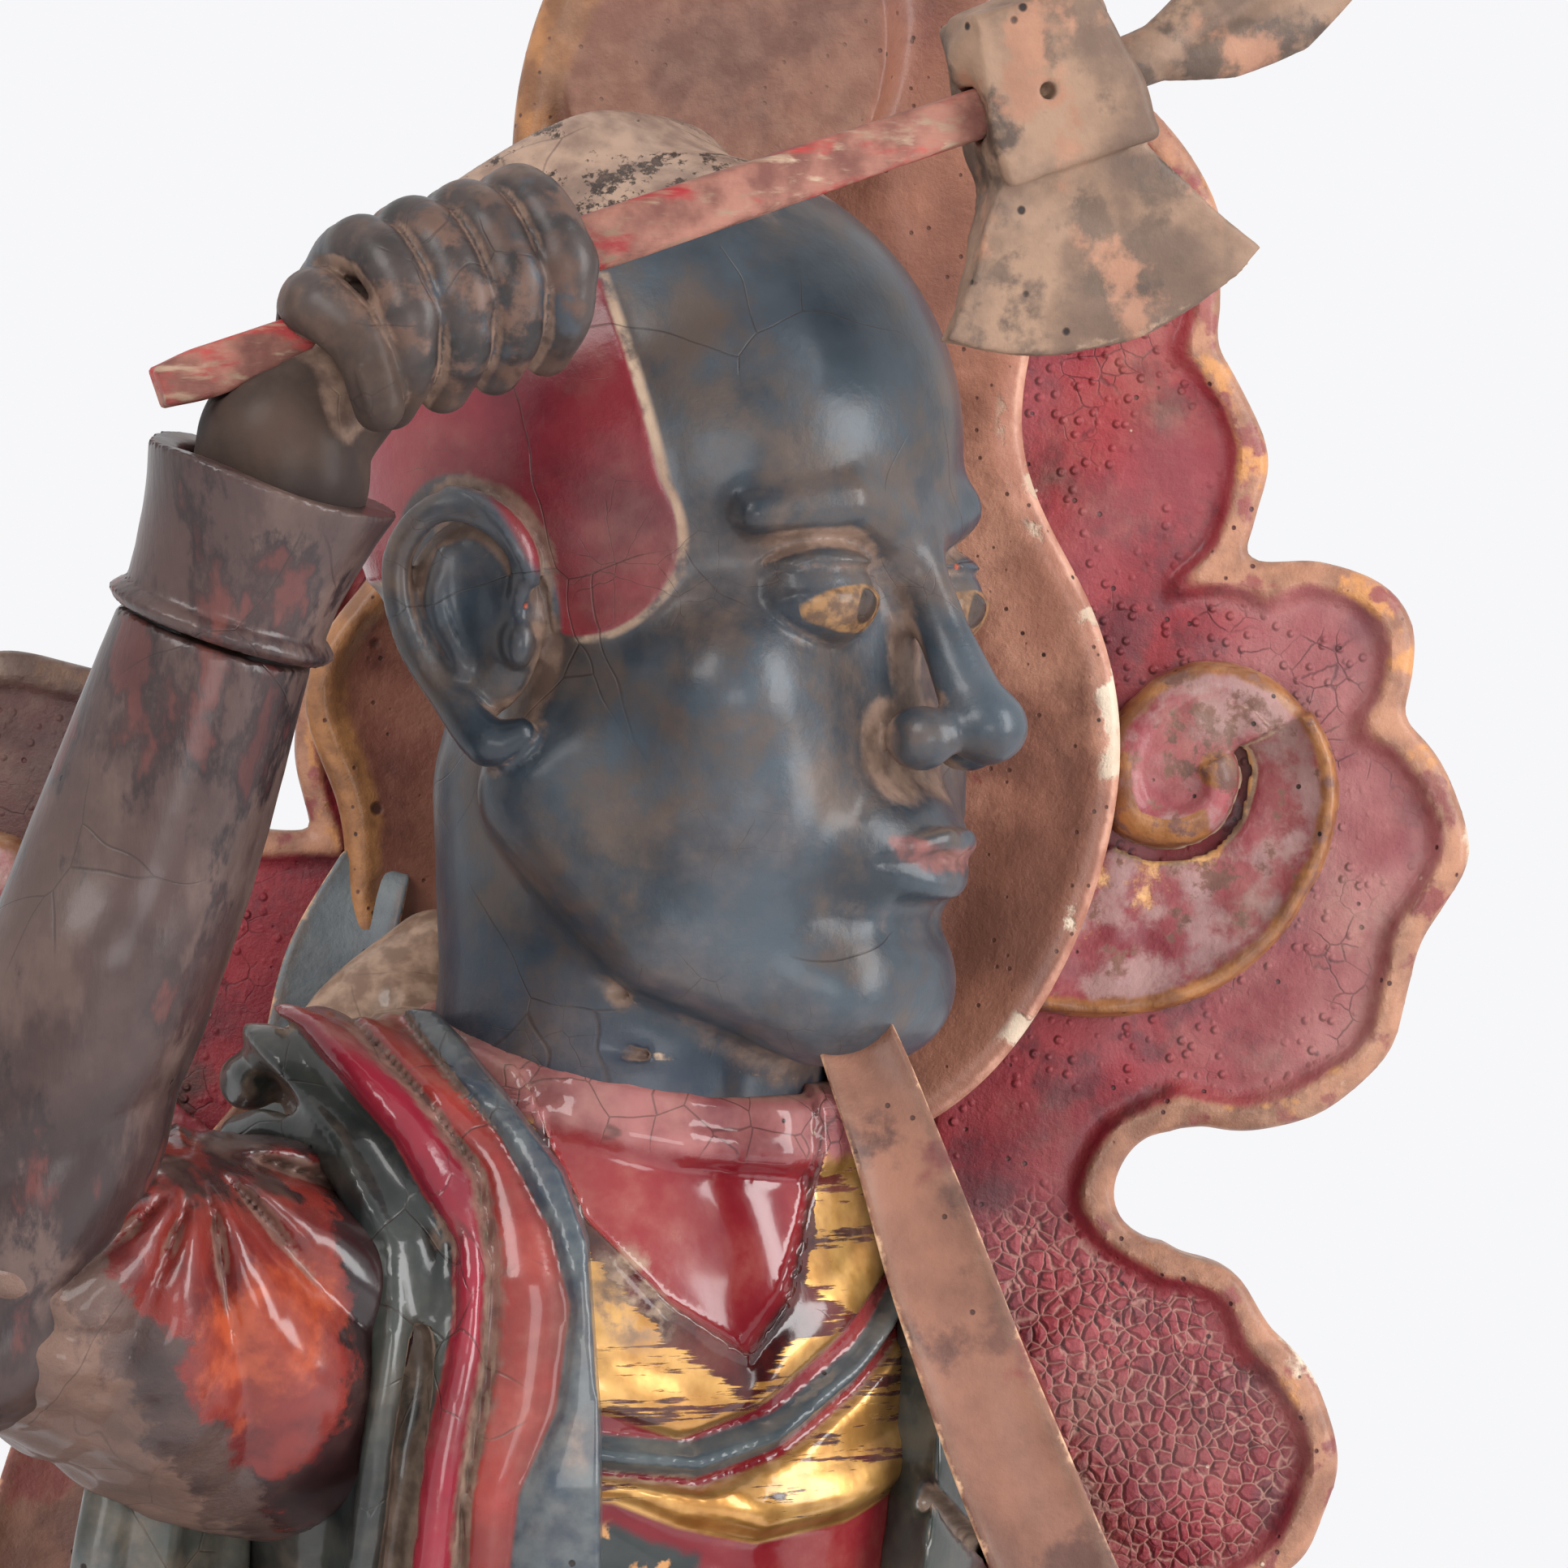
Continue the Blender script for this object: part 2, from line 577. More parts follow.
def paint_head():
    p = Paint("blue_face_lacquer")
    p.coat(BLUE, rough=0.36, size=24)
    p.coat((shade(34, 46, 62), shade(46, 60, 76)), p.sum("MULTIPLY", p.near_mark("throat", 0, 14), 0.7))
    rubbed = p.step(p.noise(22, 8.0, rough=0.65), 0.44, 0.66)
    p.coat((shade(52, 42, 37), shade(76, 62, 53)), p.sum("MULTIPLY", rubbed, 0.85), rough=0.42)
    hair = p.all_of(p.near_mark("hair", -0.3, 0.5), p.near_mark("ear_gap", 1.0, 2.0))
    p.coat(CRIMSON, hair, rough=0.24, size=26)
    edge = p.all_of(
        p.near_mark("hair", -1.1, -0.3), p.near_mark("hair", 0.5, 0.0), p.near_mark("ear_gap", 2, 4)
    )
    p.coat(DUST, p.all_of(edge, p.step(p.noise(7, 6.0), 0.36, 0.52)), rough=0.8)
    p.coat((shade(84, 60, 42), shade(134, 98, 60)), p.near_mark("eye", 0.0, 0.8, 0.8), rough=0.4, size=2)
    p.coat((shade(26, 20, 19), shade(42, 32, 28)), p.near_mark("pupil", -0.2, 0.3, 0.5), rough=0.25, size=3)
    p.coat((shade(74, 48, 48), shade(116, 70, 66)), p.near_mark("lip", 0.4, 1.8, 3.0), rough=0.5, size=4)
    crown = p.near_mark("crown", -3, 5, 26, 16)
    p.coat((shade(116, 94, 82), shade(156, 130, 112)), crown, rough=0.85, height=-0.2, size=8)
    p.coat(
        GRIME, p.all_of(crown, p.step(p.noise(8, 9.0, stretch=(1, 0.5, 1), rough=0.75), 0.54, 0.60)),
        rough=0.9, height=-0.5
    )
    p.craquelure(30, 0.007, wobble=0.7, mask=p.step(p.noise(36, 3.0), 0.46, 0.56), depth=-0.10)
    p.craquelure(7, 0.012, wobble=0.6, mask=p.step(p.noise(30, 4.0), 0.56, 0.66), depth=-0.04)
    p.dust(0.8, (shade(100, 78, 66), shade(136, 110, 94)), low=0.32, high=0.62)
    p.pits(16, 0.8, share=0.2, colour=shade(150, 70, 48))
    p.wear(DUST, 0.85, 1.0, 0.7)
    p.raise_by(0.10, p.noise(2.4, 6.0, rough=0.65))
    return p.done(coat=0.2, coat_rough=0.2)


# ---------- right hand and axe ----------

FIST_AT = (-27.4, -85, 686)
AXE_TURN = (0, -19.15, 16.8)
WRIST = np.array((-59, -86, 638.0))
CUFF_END = np.array((-51, -89, 661.0))
POLE_W = 7.6


def up_arm(distance):
    """A point on the wrist's axis, measured from the end of the forearm."""
    way = CUFF_END - WRIST
    return WRIST + distance * way / np.linalg.norm(way)


def to_axe(point):
    """A point of the frame, measured along the axe's own axes from the middle of the fist."""
    return turn(AXE_TURN).T @ (np.array(point, float) - FIST_AT)


def hand_paint(name):
    p = Paint(name)
    p.coat((shade(34, 29, 29), shade(62, 52, 49)), rough=0.40, size=12)
    p.coat((shade(60, 43, 37), shade(92, 68, 57)), p.step(p.noise(8, 8.0, rough=0.6), 0.46, 0.58), rough=0.5)
    p.coat((shade(40, 44, 50), shade(58, 62, 68)), p.step(p.noise(13, 6.0), 0.60, 0.68), rough=0.34)
    p.coat(GRIME, p.near_mark("wrist", -4, 6, 16, 6), rough=0.9)
    p.craquelure(12, 0.02, wobble=0.5, mask=p.step(p.noise(16, 4.0), 0.5, 0.6), depth=-0.06)
    p.dust(0.85, (shade(88, 68, 58), shade(124, 100, 86)), low=0.30, high=0.56)
    p.wear((shade(104, 80, 68), shade(144, 118, 102)), 0.82, 0.98, 0.8)
    p.wear(GESSO, 1.0, 1.08, 0.85)
    p.pits(9, 0.6, share=0.25)
    return p.done(coat=0.12, coat_rough=0.3, grain=0.05)


def model_hand():
    clay = Clay((-50, -28, -44), (32, 26, 26), 0.6)
    heel = to_axe(up_arm(27))
    clay.add(blob((-1, 5.5, 0), (17.5, 10, 11.5)))
    clay.add(blob((-9, 7, 1), (11, 9.5, 11)), 5)
    clay.add(limb([heel + (0, 0, -4), heel + (2, 0, 2), (-12, 5, -4)], [11.5, 11.5, 10]), 6)
    clay.add(limb([to_axe(up_arm(20)), heel], (10.8, 11.3)), 3)
    for i in range(4):
        x = -11.4 + 7.9 * i
        thick = 4.7 - 0.2 * abs(i - 1.3)
        line = curve(
            [
                (x - 2.4, 7, 6.5), (x, -0.5, 9.6), (x + 2.2, -8.5, 8.0), (x + 2.8, -12.4, 0.5),
                (x + 1, -11.6, -7.5), (x - 2, -5, -12.4)
            ],
            4
        )
        radii = np.interp(range(len(line)), (0, 6, 12, 20), (thick - 0.4, thick, thick - 0.1, thick - 0.8))
        clay.add(limb(line, radii), 0.55)
        for at in (6, 13):
            clay.add(blob(line[at], (thick + 0.35, thick + 0.2, thick + 0.2)), 1.2)
        clay.cut(
            limb(
                curve(
                    [(x + 6.1, -1, 15.2), (x + 8.2, -11, 12.5), (x + 8.8, -16.4, 1), (x + 6.6, -14, -10)], 4
                ),
                0.75
            ),
            0.9
        )
    thumb = curve([(-17, 5, 2), (-19, -6, 4), (-16.5, -12, -3), (-17, -12.5, -12)], 4)
    clay.add(limb(thumb, np.interp(range(len(thumb)), (0, 6, 12), (6, 4.6, 3.6))), 0.8)
    clay.add(brick((-17, -15.4, -9.5), (2.6, 0.8, 3.6), (8, 0, 6), 0.7), 0.4)
    clay.cut(limb([(-60, 0, 0), (40, 0, 0)], POLE_W / 2 + 0.5), 0.6)
    down = -(turn(AXE_TURN).T @ (CUFF_END - WRIST))
    clay.keep(side_of(to_axe(up_arm(21.2)), down))
    marks = {"wrist": lambda x, y, z: -x - z * 0.8 - 18}
    place = (turn(AXE_TURN), FIST_AT)
    carving(
        "fist_carving", clay, "hand", ["hand_right"], hand_paint("hand_lacquer"), marks, place
    )


def model_axe():
    spin = (turn(AXE_TURN), FIST_AT)
    # pole: a hand-planed stick
    clay = Clay((-48, -7, -7), (110, 7, 7), 0.5)
    clay.add(brick((31, 0, 0), (75, POLE_W / 2 - 0.2, POLE_W / 2), corner=1.2))
    clay.swell(
        lambda x, y, z: 0.25 * np.sin(x / 17) + 0.12 * np.sin(x / 5 + 2 * y) - 0.8 * smooth(-x, 36, 44)
    )
    p = Paint("pole_paint")
    p.coat(POLE, rough=0.6, size=8)
    grain = p.noise(1.5, 6.0, stretch=(0.06, 1, 1))
    p.coat(
        (shade(126, 30, 34), shade(168, 52, 50)), p.step(p.noise(9, 7.0, stretch=(0.3, 1, 1)), 0.5, 0.6),
        rough=0.5
    )
    p.raise_by(0.35, grain)
    p.coat(DUST, p.step(grain, 0.52, 0.72), rough=0.85)
    p.wear((shade(150, 104, 84), shade(190, 150, 124)), 0.6, 0.9, 0.7)
    carving("pole_stick", clay, "axe", ["axe_pole"], p.done(grain=0.05), {}, spin)

    # head: a socket block that stands proud of a wedge-shaped blade
    clay = Clay((60, -13, -42), (128, 13, 18), 0.55)

    def blade(x, y, z):
        edge = np.hypot(x - 95.5, z - 8) - 46
        flare = 10 + 0.62 * np.maximum(-z - 8, 0) + 2.5 * smooth(-z, 22, 38)
        sides = abs(x - 94.5 - 0.05 * z) - flare
        thick = abs(y) - np.interp(-z, (8, 20, 38), (5.4, 3.6, 0.55))
        return np.maximum(np.maximum(np.maximum(edge, sides), thick), z + 6)

    clay.add((np.array((60, -8, -42)), np.array((128, 8, 0)), blade))
    block = both(brick((95, 0, 1), (12.5, 8, 12.5), corner=1.5), side_of((83.5, 0, 0), (-1, 0, 0.16)))
    block = both(block, side_of((107, 0, 0), (1, 0, 0.25)))
    clay.add(block, 0.8)
    clay.add(both(limb([(89, 0, 8), (101, 0, 8.5)], 6.6), brick((95, 0, 6), (14, 8, 10), corner=1)), 2.5)
    clay.swell(lambda x, y, z: 0.35 * np.sin(x / 3.4 + z / 2.6) * np.sin(z / 3.8 + y))
    clay.cut(limb([(93, -20, 0), (93, -6, 0)], 1.3), 0.4)
    clay.cut(limb([(60, 0, 0), (130, 0, 0)], POLE_W / 2 + 0.4), 0.3)
    p = Paint("axe_paint")
    p.coat(AXE, rough=0.6, size=16)
    p.coat(
        (shade(66, 52, 44), shade(96, 76, 62)), p.step(p.noise(12, 8.0, rough=0.6), 0.50, 0.60), rough=0.45
    )
    p.coat(
        (shade(132, 92, 72), shade(156, 112, 88)), p.step(p.noise(15, 8.0, rough=0.6), 0.56, 0.66), rough=0.5
    )
    p.coat((shade(140, 62, 60), shade(160, 90, 80)), p.step(p.noise(12, 9.0, rough=0.7), 0.68, 0.72))
    p.raise_by(0.3, p.noise(3.0, 7.0, rough=0.65))
    p.dust(0.75, (shade(112, 88, 74), shade(148, 122, 104)), low=0.24, high=0.5)
    p.wear((shade(140, 114, 94), shade(176, 150, 128)), 0.78, 0.98, 0.75)
    p.pits(7, 0.8, share=0.35)
    p.raise_by(0.12, p.noise(2.2, 6.0, stretch=(0.3, 1, 1)))
    axe_paint = p.done(coat=0.1, coat_rough=0.3)
    carving("axe_blade", clay, "axe", ["axe_head", "axe_pin"], axe_paint, {}, spin)

    # leaf-shaped tip
    clay = Clay((104, -6, -14), (172, 6, 26), 0.55)

    def leaf(x, y, z):
        rise = 0.0045 * (x - 106) ** 2
        half = np.interp(x, (106, 113, 124, 136, 150, 164, 170), (3.9, 4.2, 8.4, 10.3, 7.6, 2.8, 0.4))
        w = (z - rise) / half
        thick = np.interp(
            x, (106, 120, 150, 170), (3.3, 3.2, 2.2, 0.6)
        ) * np.sqrt(np.clip(1 - w * w, 0.02, 1))
        out = np.maximum(
            abs(z - rise) - half, abs(y) - thick + 0.9 * ridge(z - rise, 1.6) * smooth(x, 112, 120)
        )
        return np.maximum(np.maximum(out, 106.2 - x), x - 170)

    clay.add((np.array((104, -5, -14)), np.array((171, 5, 26)), leaf))
    carving("axe_leaf", clay, "axe", ["axe_tip"], axe_paint, {}, spin)


# ---------- right arm ----------


def forearm_paint(name):
    p = Paint(name)
    along = (1, 1, 0.45)
    p.coat((shade(46, 32, 31), shade(66, 48, 45)), rough=0.36, size=40)
    p.coat(
        (shade(70, 53, 48), shade(90, 70, 64)), p.step(p.noise(20, 8.0, along, 0.6), 0.50, 0.62), rough=0.46
    )
    p.coat(
        (shade(30, 21, 23), shade(46, 31, 31)), p.step(p.noise(13, 9.0, along, 0.65), 0.52, 0.60), rough=0.3
    )
    p.coat((shade(62, 30, 29), shade(84, 44, 40)), p.step(p.noise(13, 9.0, along), 0.60, 0.66), rough=0.38)
    p.craquelure(34, 0.006, wobble=0.6, mask=p.step(p.noise(40, 3.0), 0.5, 0.6), depth=-0.06)
    p.raise_by(0.14, p.noise(1.6, 5.0, stretch=(1, 1, 0.2)))
    p.dust(0.6, (shade(80, 62, 55), shade(110, 89, 80)), low=0.34, high=0.60)
    p.wear((shade(108, 84, 74), shade(140, 116, 104)), 0.86, 1.0, 0.7)
    p.pits(8, 0.5, share=0.3)
    return p.done(coat=0.25, coat_rough=0.2)


def model_forearm():
    clay = Clay((-122, -108, 520), (-24, -50, 668), 0.9)
    bone = curve([(-95, -73, 541), (-84, -77, 571), (-70, -82, 606), (-59, -86, 638)], 4)
    clay.add(limb(bone, np.interp(range(13), (0, 4, 8, 12), (17.5, 17.8, 16.4, 14.2))))
    clay.add(limb([(-92, -82, 556), (-76, -91, 592)], [8, 6]), 12)

    def grooves(x, y, z):
        """Shallow hollows along the arm, and creases where it leaves the sleeve."""
        way = np.arctan2(y + 80, x + 75 - 0.36 * (z - 600))
        long_way = 0.5 * np.sin(way * 4 + z / 33)
        pinch = 1.5 * (abs(np.sin((z - 0.55 * x - 590) / 6.2)) - 0.6) * smooth(592 - z, 0, 34)
        return long_way + pinch

    clay.swell(grooves)
    clay.keep(side_of(up_arm(-0.5), CUFF_END - WRIST))
    paint = forearm_paint("forearm_lacquer")
    carving("forearm_carving", clay, "figure", ["forearm_right"], paint)

    clay = Clay((-84, -114, 630), (-24, -62, 672), 0.6)
    way = (CUFF_END - WRIST) / 24.5

    def band(low, high, radii, hollow):
        """A ring of wood round the wrist between two distances, flaring through radii."""
        def far(x, y, z):
            p = [x - WRIST[0], y - WRIST[1], z - WRIST[2]]
            t = sum(a * b for a, b in zip(p, way))
            r = np.sqrt(np.maximum(sum(a * a for a in p) - t * t, 0))
            outer = r - np.interp(t, np.linspace(low, high, len(radii)), radii)
            return np.maximum(np.maximum(outer, hollow - r), np.maximum(low - t, t - high))
        return WRIST - 40, WRIST + 50, far

    clay.add(band(0.3, 3.4, (15.4, 16.8, 15.4), 2), 0.4)
    clay.add(band(3.2, 23.8, (14.6, 14.9, 15.8, 17.0, 18.4), 2), 0.9)
    clay.cut(band(20, 26, (12, 14), 0), 0.8)
    clay.swell(lambda x, y, z: 0.45 * np.sin(np.arctan2(y + 88, x + 53) * 3 + 1) * smooth(z, 650, 660))
    carving("cuff_carving", clay, "figure", ["cuff_right"], paint)


def sleeve_paint(name):
    p = Paint(name)
    p.coat((shade(82, 24, 23), shade(112, 37, 31)), rough=0.24, size=9)
    glow = p.sum("ADD", p.mark("glow"), p.noise(8, 9.0, rough=0.65))
    p.coat((shade(118, 42, 28), shade(152, 68, 42)), p.step(glow, 0.86, 1.12), rough=0.22, size=6)
    p.coat(
        (shade(28, 16, 18), shade(50, 26, 26)),
        p.step(p.sum("ADD", p.mark("scorch"), p.noise(10, 8.0, rough=0.6)), 0.74, 0.84), rough=0.22
    )
    p.coat(
        (shade(50, 36, 35), shade(82, 61, 55)),
        p.step(p.sum("ADD", p.mark("elbow"), p.noise(10, 8.0, rough=0.6)), 0.86, 0.96), rough=0.42
    )
    p.coat(
        (shade(84, 62, 54), shade(112, 86, 74)),
        p.step(p.sum("ADD", p.mark("elbow"), p.noise(5, 8.0, rough=0.65)), 1.22, 1.36), rough=0.7
    )
    p.craquelure(24, 0.008, wobble=0.6, mask=p.step(p.noise(30, 3.0), 0.5, 0.6), depth=-0.06)
    p.raise_by(1.2, p.all_of(p.mark("elbow"), p.noise(5.0, 8.0, rough=0.68)))
    p.dust(0.7, (shade(96, 70, 60), shade(128, 100, 88)), low=0.34, high=0.60)
    p.wear((shade(60, 28, 26), shade(88, 48, 42)), 0.80, 1.0, 0.45)
    p.pits(9, 0.5, share=0.3)
    return p.done(coat=0.35, coat_rough=0.14)


def model_upper_arm():
    clay = Clay((-126, -112, 486), (-8, 18, 584), 0.85)
    rows = curve([(-30, -6, 529), (-44, -22, 531), (-62, -43, 536), (-78, -60, 543), (-94, -75, 549)], 4)
    clay.add(limb(rows, np.interp(range(len(rows)), (0, 4, 8, 12, 16), (27, 29.5, 29.5, 25, 17.5))))
    hinge = (-64, 563)

    def creases(x, y, z):
        """Folds that fan out from the inside of the elbow, sharp in their valleys."""
        far = np.hypot(x - hinge[0], z - hinge[1])
        way = np.arctan2(z - hinge[1], x - hinge[0]) + 0.010 * far
        fan = abs(np.sin(way * 6.0 + 0.5 * np.sin(far / 9))) - 0.62
        twist = abs(np.sin(way * 3 + far / 5.0)) - 0.6
        reach = smooth(far, 2, 12) * (1 - smooth(far, 30, 62))
        elbow = smooth(-x, 56, 84)
        rough = 0.7 * np.sin(x / 2.1 + z / 3.3) * np.sin(z / 2.3 - y / 2.9) * elbow
        return rough + smooth(-y, 2, 24) * (
            3.8 * fan * reach * (1 - elbow * 0.3) + 1.8 * twist * elbow * (1 - smooth(far, 30, 60))
        )

    clay.swell(creases)
    clay.cut(column([(z, x, y, a - 2, b - 2, t) for z, x, y, a, b, t in COAT_ROWS]), 1)
    marks = {
        "elbow": lambda x, y, z: smooth(-x - 0.5 * (z - 540), 52, 88),
        "glow": lambda x, y, z: 0.75 * np.exp(-(x + 53 - 0.3 * (z - 538)) ** 2 / 170 - (z - 538) ** 2 / 300),
        "scorch": lambda x, y, z: (
            0.42 * smooth(528 - z, 0, 16) + 0.5 * smooth(x, -48, -38) + 0.35 * smooth(z, 548, 562)),
    }
    paint = sleeve_paint("sleeve_lacquer")
    carving("sleeve_carving", clay, "figure", ["upper_arm_right"], paint, marks)


# ---------- more shapes ----------


def soft_least(a, b, k):
    """The smaller of two distances, with a fillet of about k."""
    h = np.clip(0.5 + (b - a) / (2 * k), 0, 1)
    return b + (a - b) * h - k * h * (1 - h)


def lobes(circles, k=4.0):
    """A flat outline in X and Z: circles of x, z and radius, run together."""
    def far(x, z):
        out = None
        for cx, cz, r in circles:
            one = np.hypot(x - cx, z - cz) - r
            out = one if out is None else soft_least(out, one, k)
        return out
    return far


def board_of(outline, front, back, low, high, corner=1.2):
    """An upright board: its outline in X and Z, and how far front and back lie along Y at (x, z, inset)."""
    def far(x, y, z):
        rim = outline(x, z)
        faces = -soft_least(y - front(x, z, -rim), back - y, 0.1)
        return -soft_least(-rim, -faces, corner)
    return np.array(low, float), np.array(high, float), far


def fluted(rows, count, deep, grow=0.0):
    """A column whose sides wave in count flutes."""
    low, high, _ = column(rows)

    def far(x, y, z):
        u, v, a, b = oval_place(rows, x, y, z)
        wave = 1 + deep * np.cos(count * np.arctan2(v / b, u / a))
        gap = (np.sqrt((u / (a * wave)) ** 2 + (v / (b * wave)) ** 2) - 1) * np.minimum(a, b) - grow
        return np.maximum(gap, np.maximum(low[2] - z, z - high[2]))
    return low - grow, high + grow, far


def ribbon(rows, thick, facing, ripple=0.0, steps=6, sides=11):
    """A carved band of cloth along rows of x, y, z and half width. Returns points, faces and marks."""
    rows = curve(rows, steps)
    path, half = rows[:, :3], rows[:, 3]
    way = np.gradient(path, axis=0)
    way /= np.linalg.norm(way, axis=1)[:, None]
    side = np.cross(way, np.array(facing, float))
    side /= np.linalg.norm(side, axis=1)[:, None]
    out = np.cross(side, way)
    s = np.linspace(-1, 1, sides)
    lip = np.exp(-(((abs(s) - 0.93) / 0.09) ** 2))
    front = 0.42 + 0.30 * lip - 0.16 * np.cos(s * np.pi / 2) ** 2
    back = -0.5 * np.sqrt(np.clip(1 - s * s * 0.96, 0, 1))
    across = np.concatenate([s, s[-2:0:-1]])
    height = np.concatenate([front, back[-2:0:-1]]) * thick
    ring = len(across)
    t = np.arange(len(path))[:, None]
    wave = ripple * np.sin(t * 0.9 + 1.5 * across[None]) * across[None] ** 2
    points = path[:, None] + side[:, None] * (half[:, None] * across)[..., None]
    points = (points + out[:, None] * (height[None] + wave)[..., None]).reshape(-1, 3)
    i, j = np.meshgrid(np.arange(len(path) - 1), np.arange(ring), indexing="ij")
    nxt = (j + 1) % ring
    quads = np.stack(
        [i * ring + j, i * ring + nxt, (i + 1) * ring + nxt, (i + 1) * ring + j], -1
    ).reshape(-1, 4)
    ends = []
    for base, flip in ((0, -1), ((len(path) - 1) * ring, 1)):
        for k in range(sides - 1):
            under = [base + (ring - m) % ring if m else base for m in (k, k + 1)]
            cap = [base + k, base + k + 1, under[1] if k + 1 < sides - 1 else base + sides - 1, under[0]]
            ends.append(cap[::flip])
    faces = [list(q) for q in quads] + [list(dict.fromkeys(e)) for e in ends]
    full = np.tile(across, len(path))
    marks = {"edge": np.clip(abs(full) * 1.15 - 0.25, 0, 1),
             "hollow": 0.25 + 0.4 * np.exp(-(((abs(full) - 0.75) / 0.1) ** 2)),
             "up": np.repeat(out[:, 2], ring), "along": np.repeat(np.linspace(0, 1, len(path)), ring)}
    return points, faces, marks


def banded(name, rows, thick, facing, body, nodes, paint, ripple=0.0):
    """A ribbon made into a piece, with its surface smoothed by one subdivision."""
    points, faces, marks = ribbon(rows, thick, facing, ripple)
    data = bpy.data.meshes.new(name)
    data.from_pydata([tuple(p) for p in points * MM], [], faces)
    for key, value in marks.items():
        layer = data.attributes.new(key, "FLOAT", "POINT")
        layer.data.foreach_set("value", np.asarray(value, np.float32))
    data.validate()
    data.shade_smooth()
    piece = bpy.data.objects.new(name, data)
    bpy.context.scene.collection.objects.link(piece)
    grow = piece.modifiers.new("finer", "SUBSURF")
    grow.levels = grow.render_levels = 1
    bpy.context.view_layer.objects.active = piece
    with bpy.context.temp_override(object=piece, active_object=piece, selected_objects=[piece]):
        bpy.ops.object.modifier_apply(modifier="finer")
    return ride(piece, body, nodes, paint)


# ---------- chest ----------

CHEST_AT = (-5, -6)
CHEST_ROWS = [(z, *CHEST_AT, a, b, 30) for z, a, b in
              ((462, 45, 34), (485, 47, 37), (510, 50, 39), (535, 51, 38), (555, 45, 34), (568, 35, 30))]
COAT_ROWS = [(z, *CHEST_AT, a, b, 30) for z, a, b in
             ((462, 54, 46), (485, 58, 49), (515, 62, 51), (545, 61, 50), (565, 51, 43), (582, 37, 36))]
RELIC = brick((2, 33, 512), (20, 45, 32), corner=0.2)
RELIC_WAY = brick((2, 70, 512), (23.4, 45, 35.4), corner=0.2)
COVER_PLACE = brick((2, 65.6, 512), (26.4, 11, 38.4), corner=0.2)

V_EDGE = ((-30, 578), (-27, 575), (-22, 553), (-12, 541), (0, 533), (8, 541), (15, 556), (17, 575), (19, 580))
BAND_END = ((-40, 527), (-21, 524), (-10, 520), (2.5, 524), (16, 532), (30, 542), (45, 551))
CORD = ((-40, 521), (-20, 518), (-8, 516.7), (5.6, 520.3), (21, 528.7), (30, 536), (45, 548))
LOW_BAND = ((-40, 518), (-20, 515), (-7, 513), (7, 516.7), (22, 525), (34, 534), (45, 542))
LOW_END = ((-40, 513), (-20, 511), (-10.5, 507), (2.5, 504), (19.5, 506), (41, 513), (55, 518))


def in_chest(x, y):
    """Across and back, in the chest's own turned frame."""
    a = math.radians(30)
    return (x + 5) * math.cos(a) + (y + 6) * math.sin(a), (y + 6) * math.cos(a) - (x + 5) * math.sin(a)


def above(line, u, z):
    """How far z is above a line of (u, z) points."""
    return z - np.interp(u, *zip(*line))


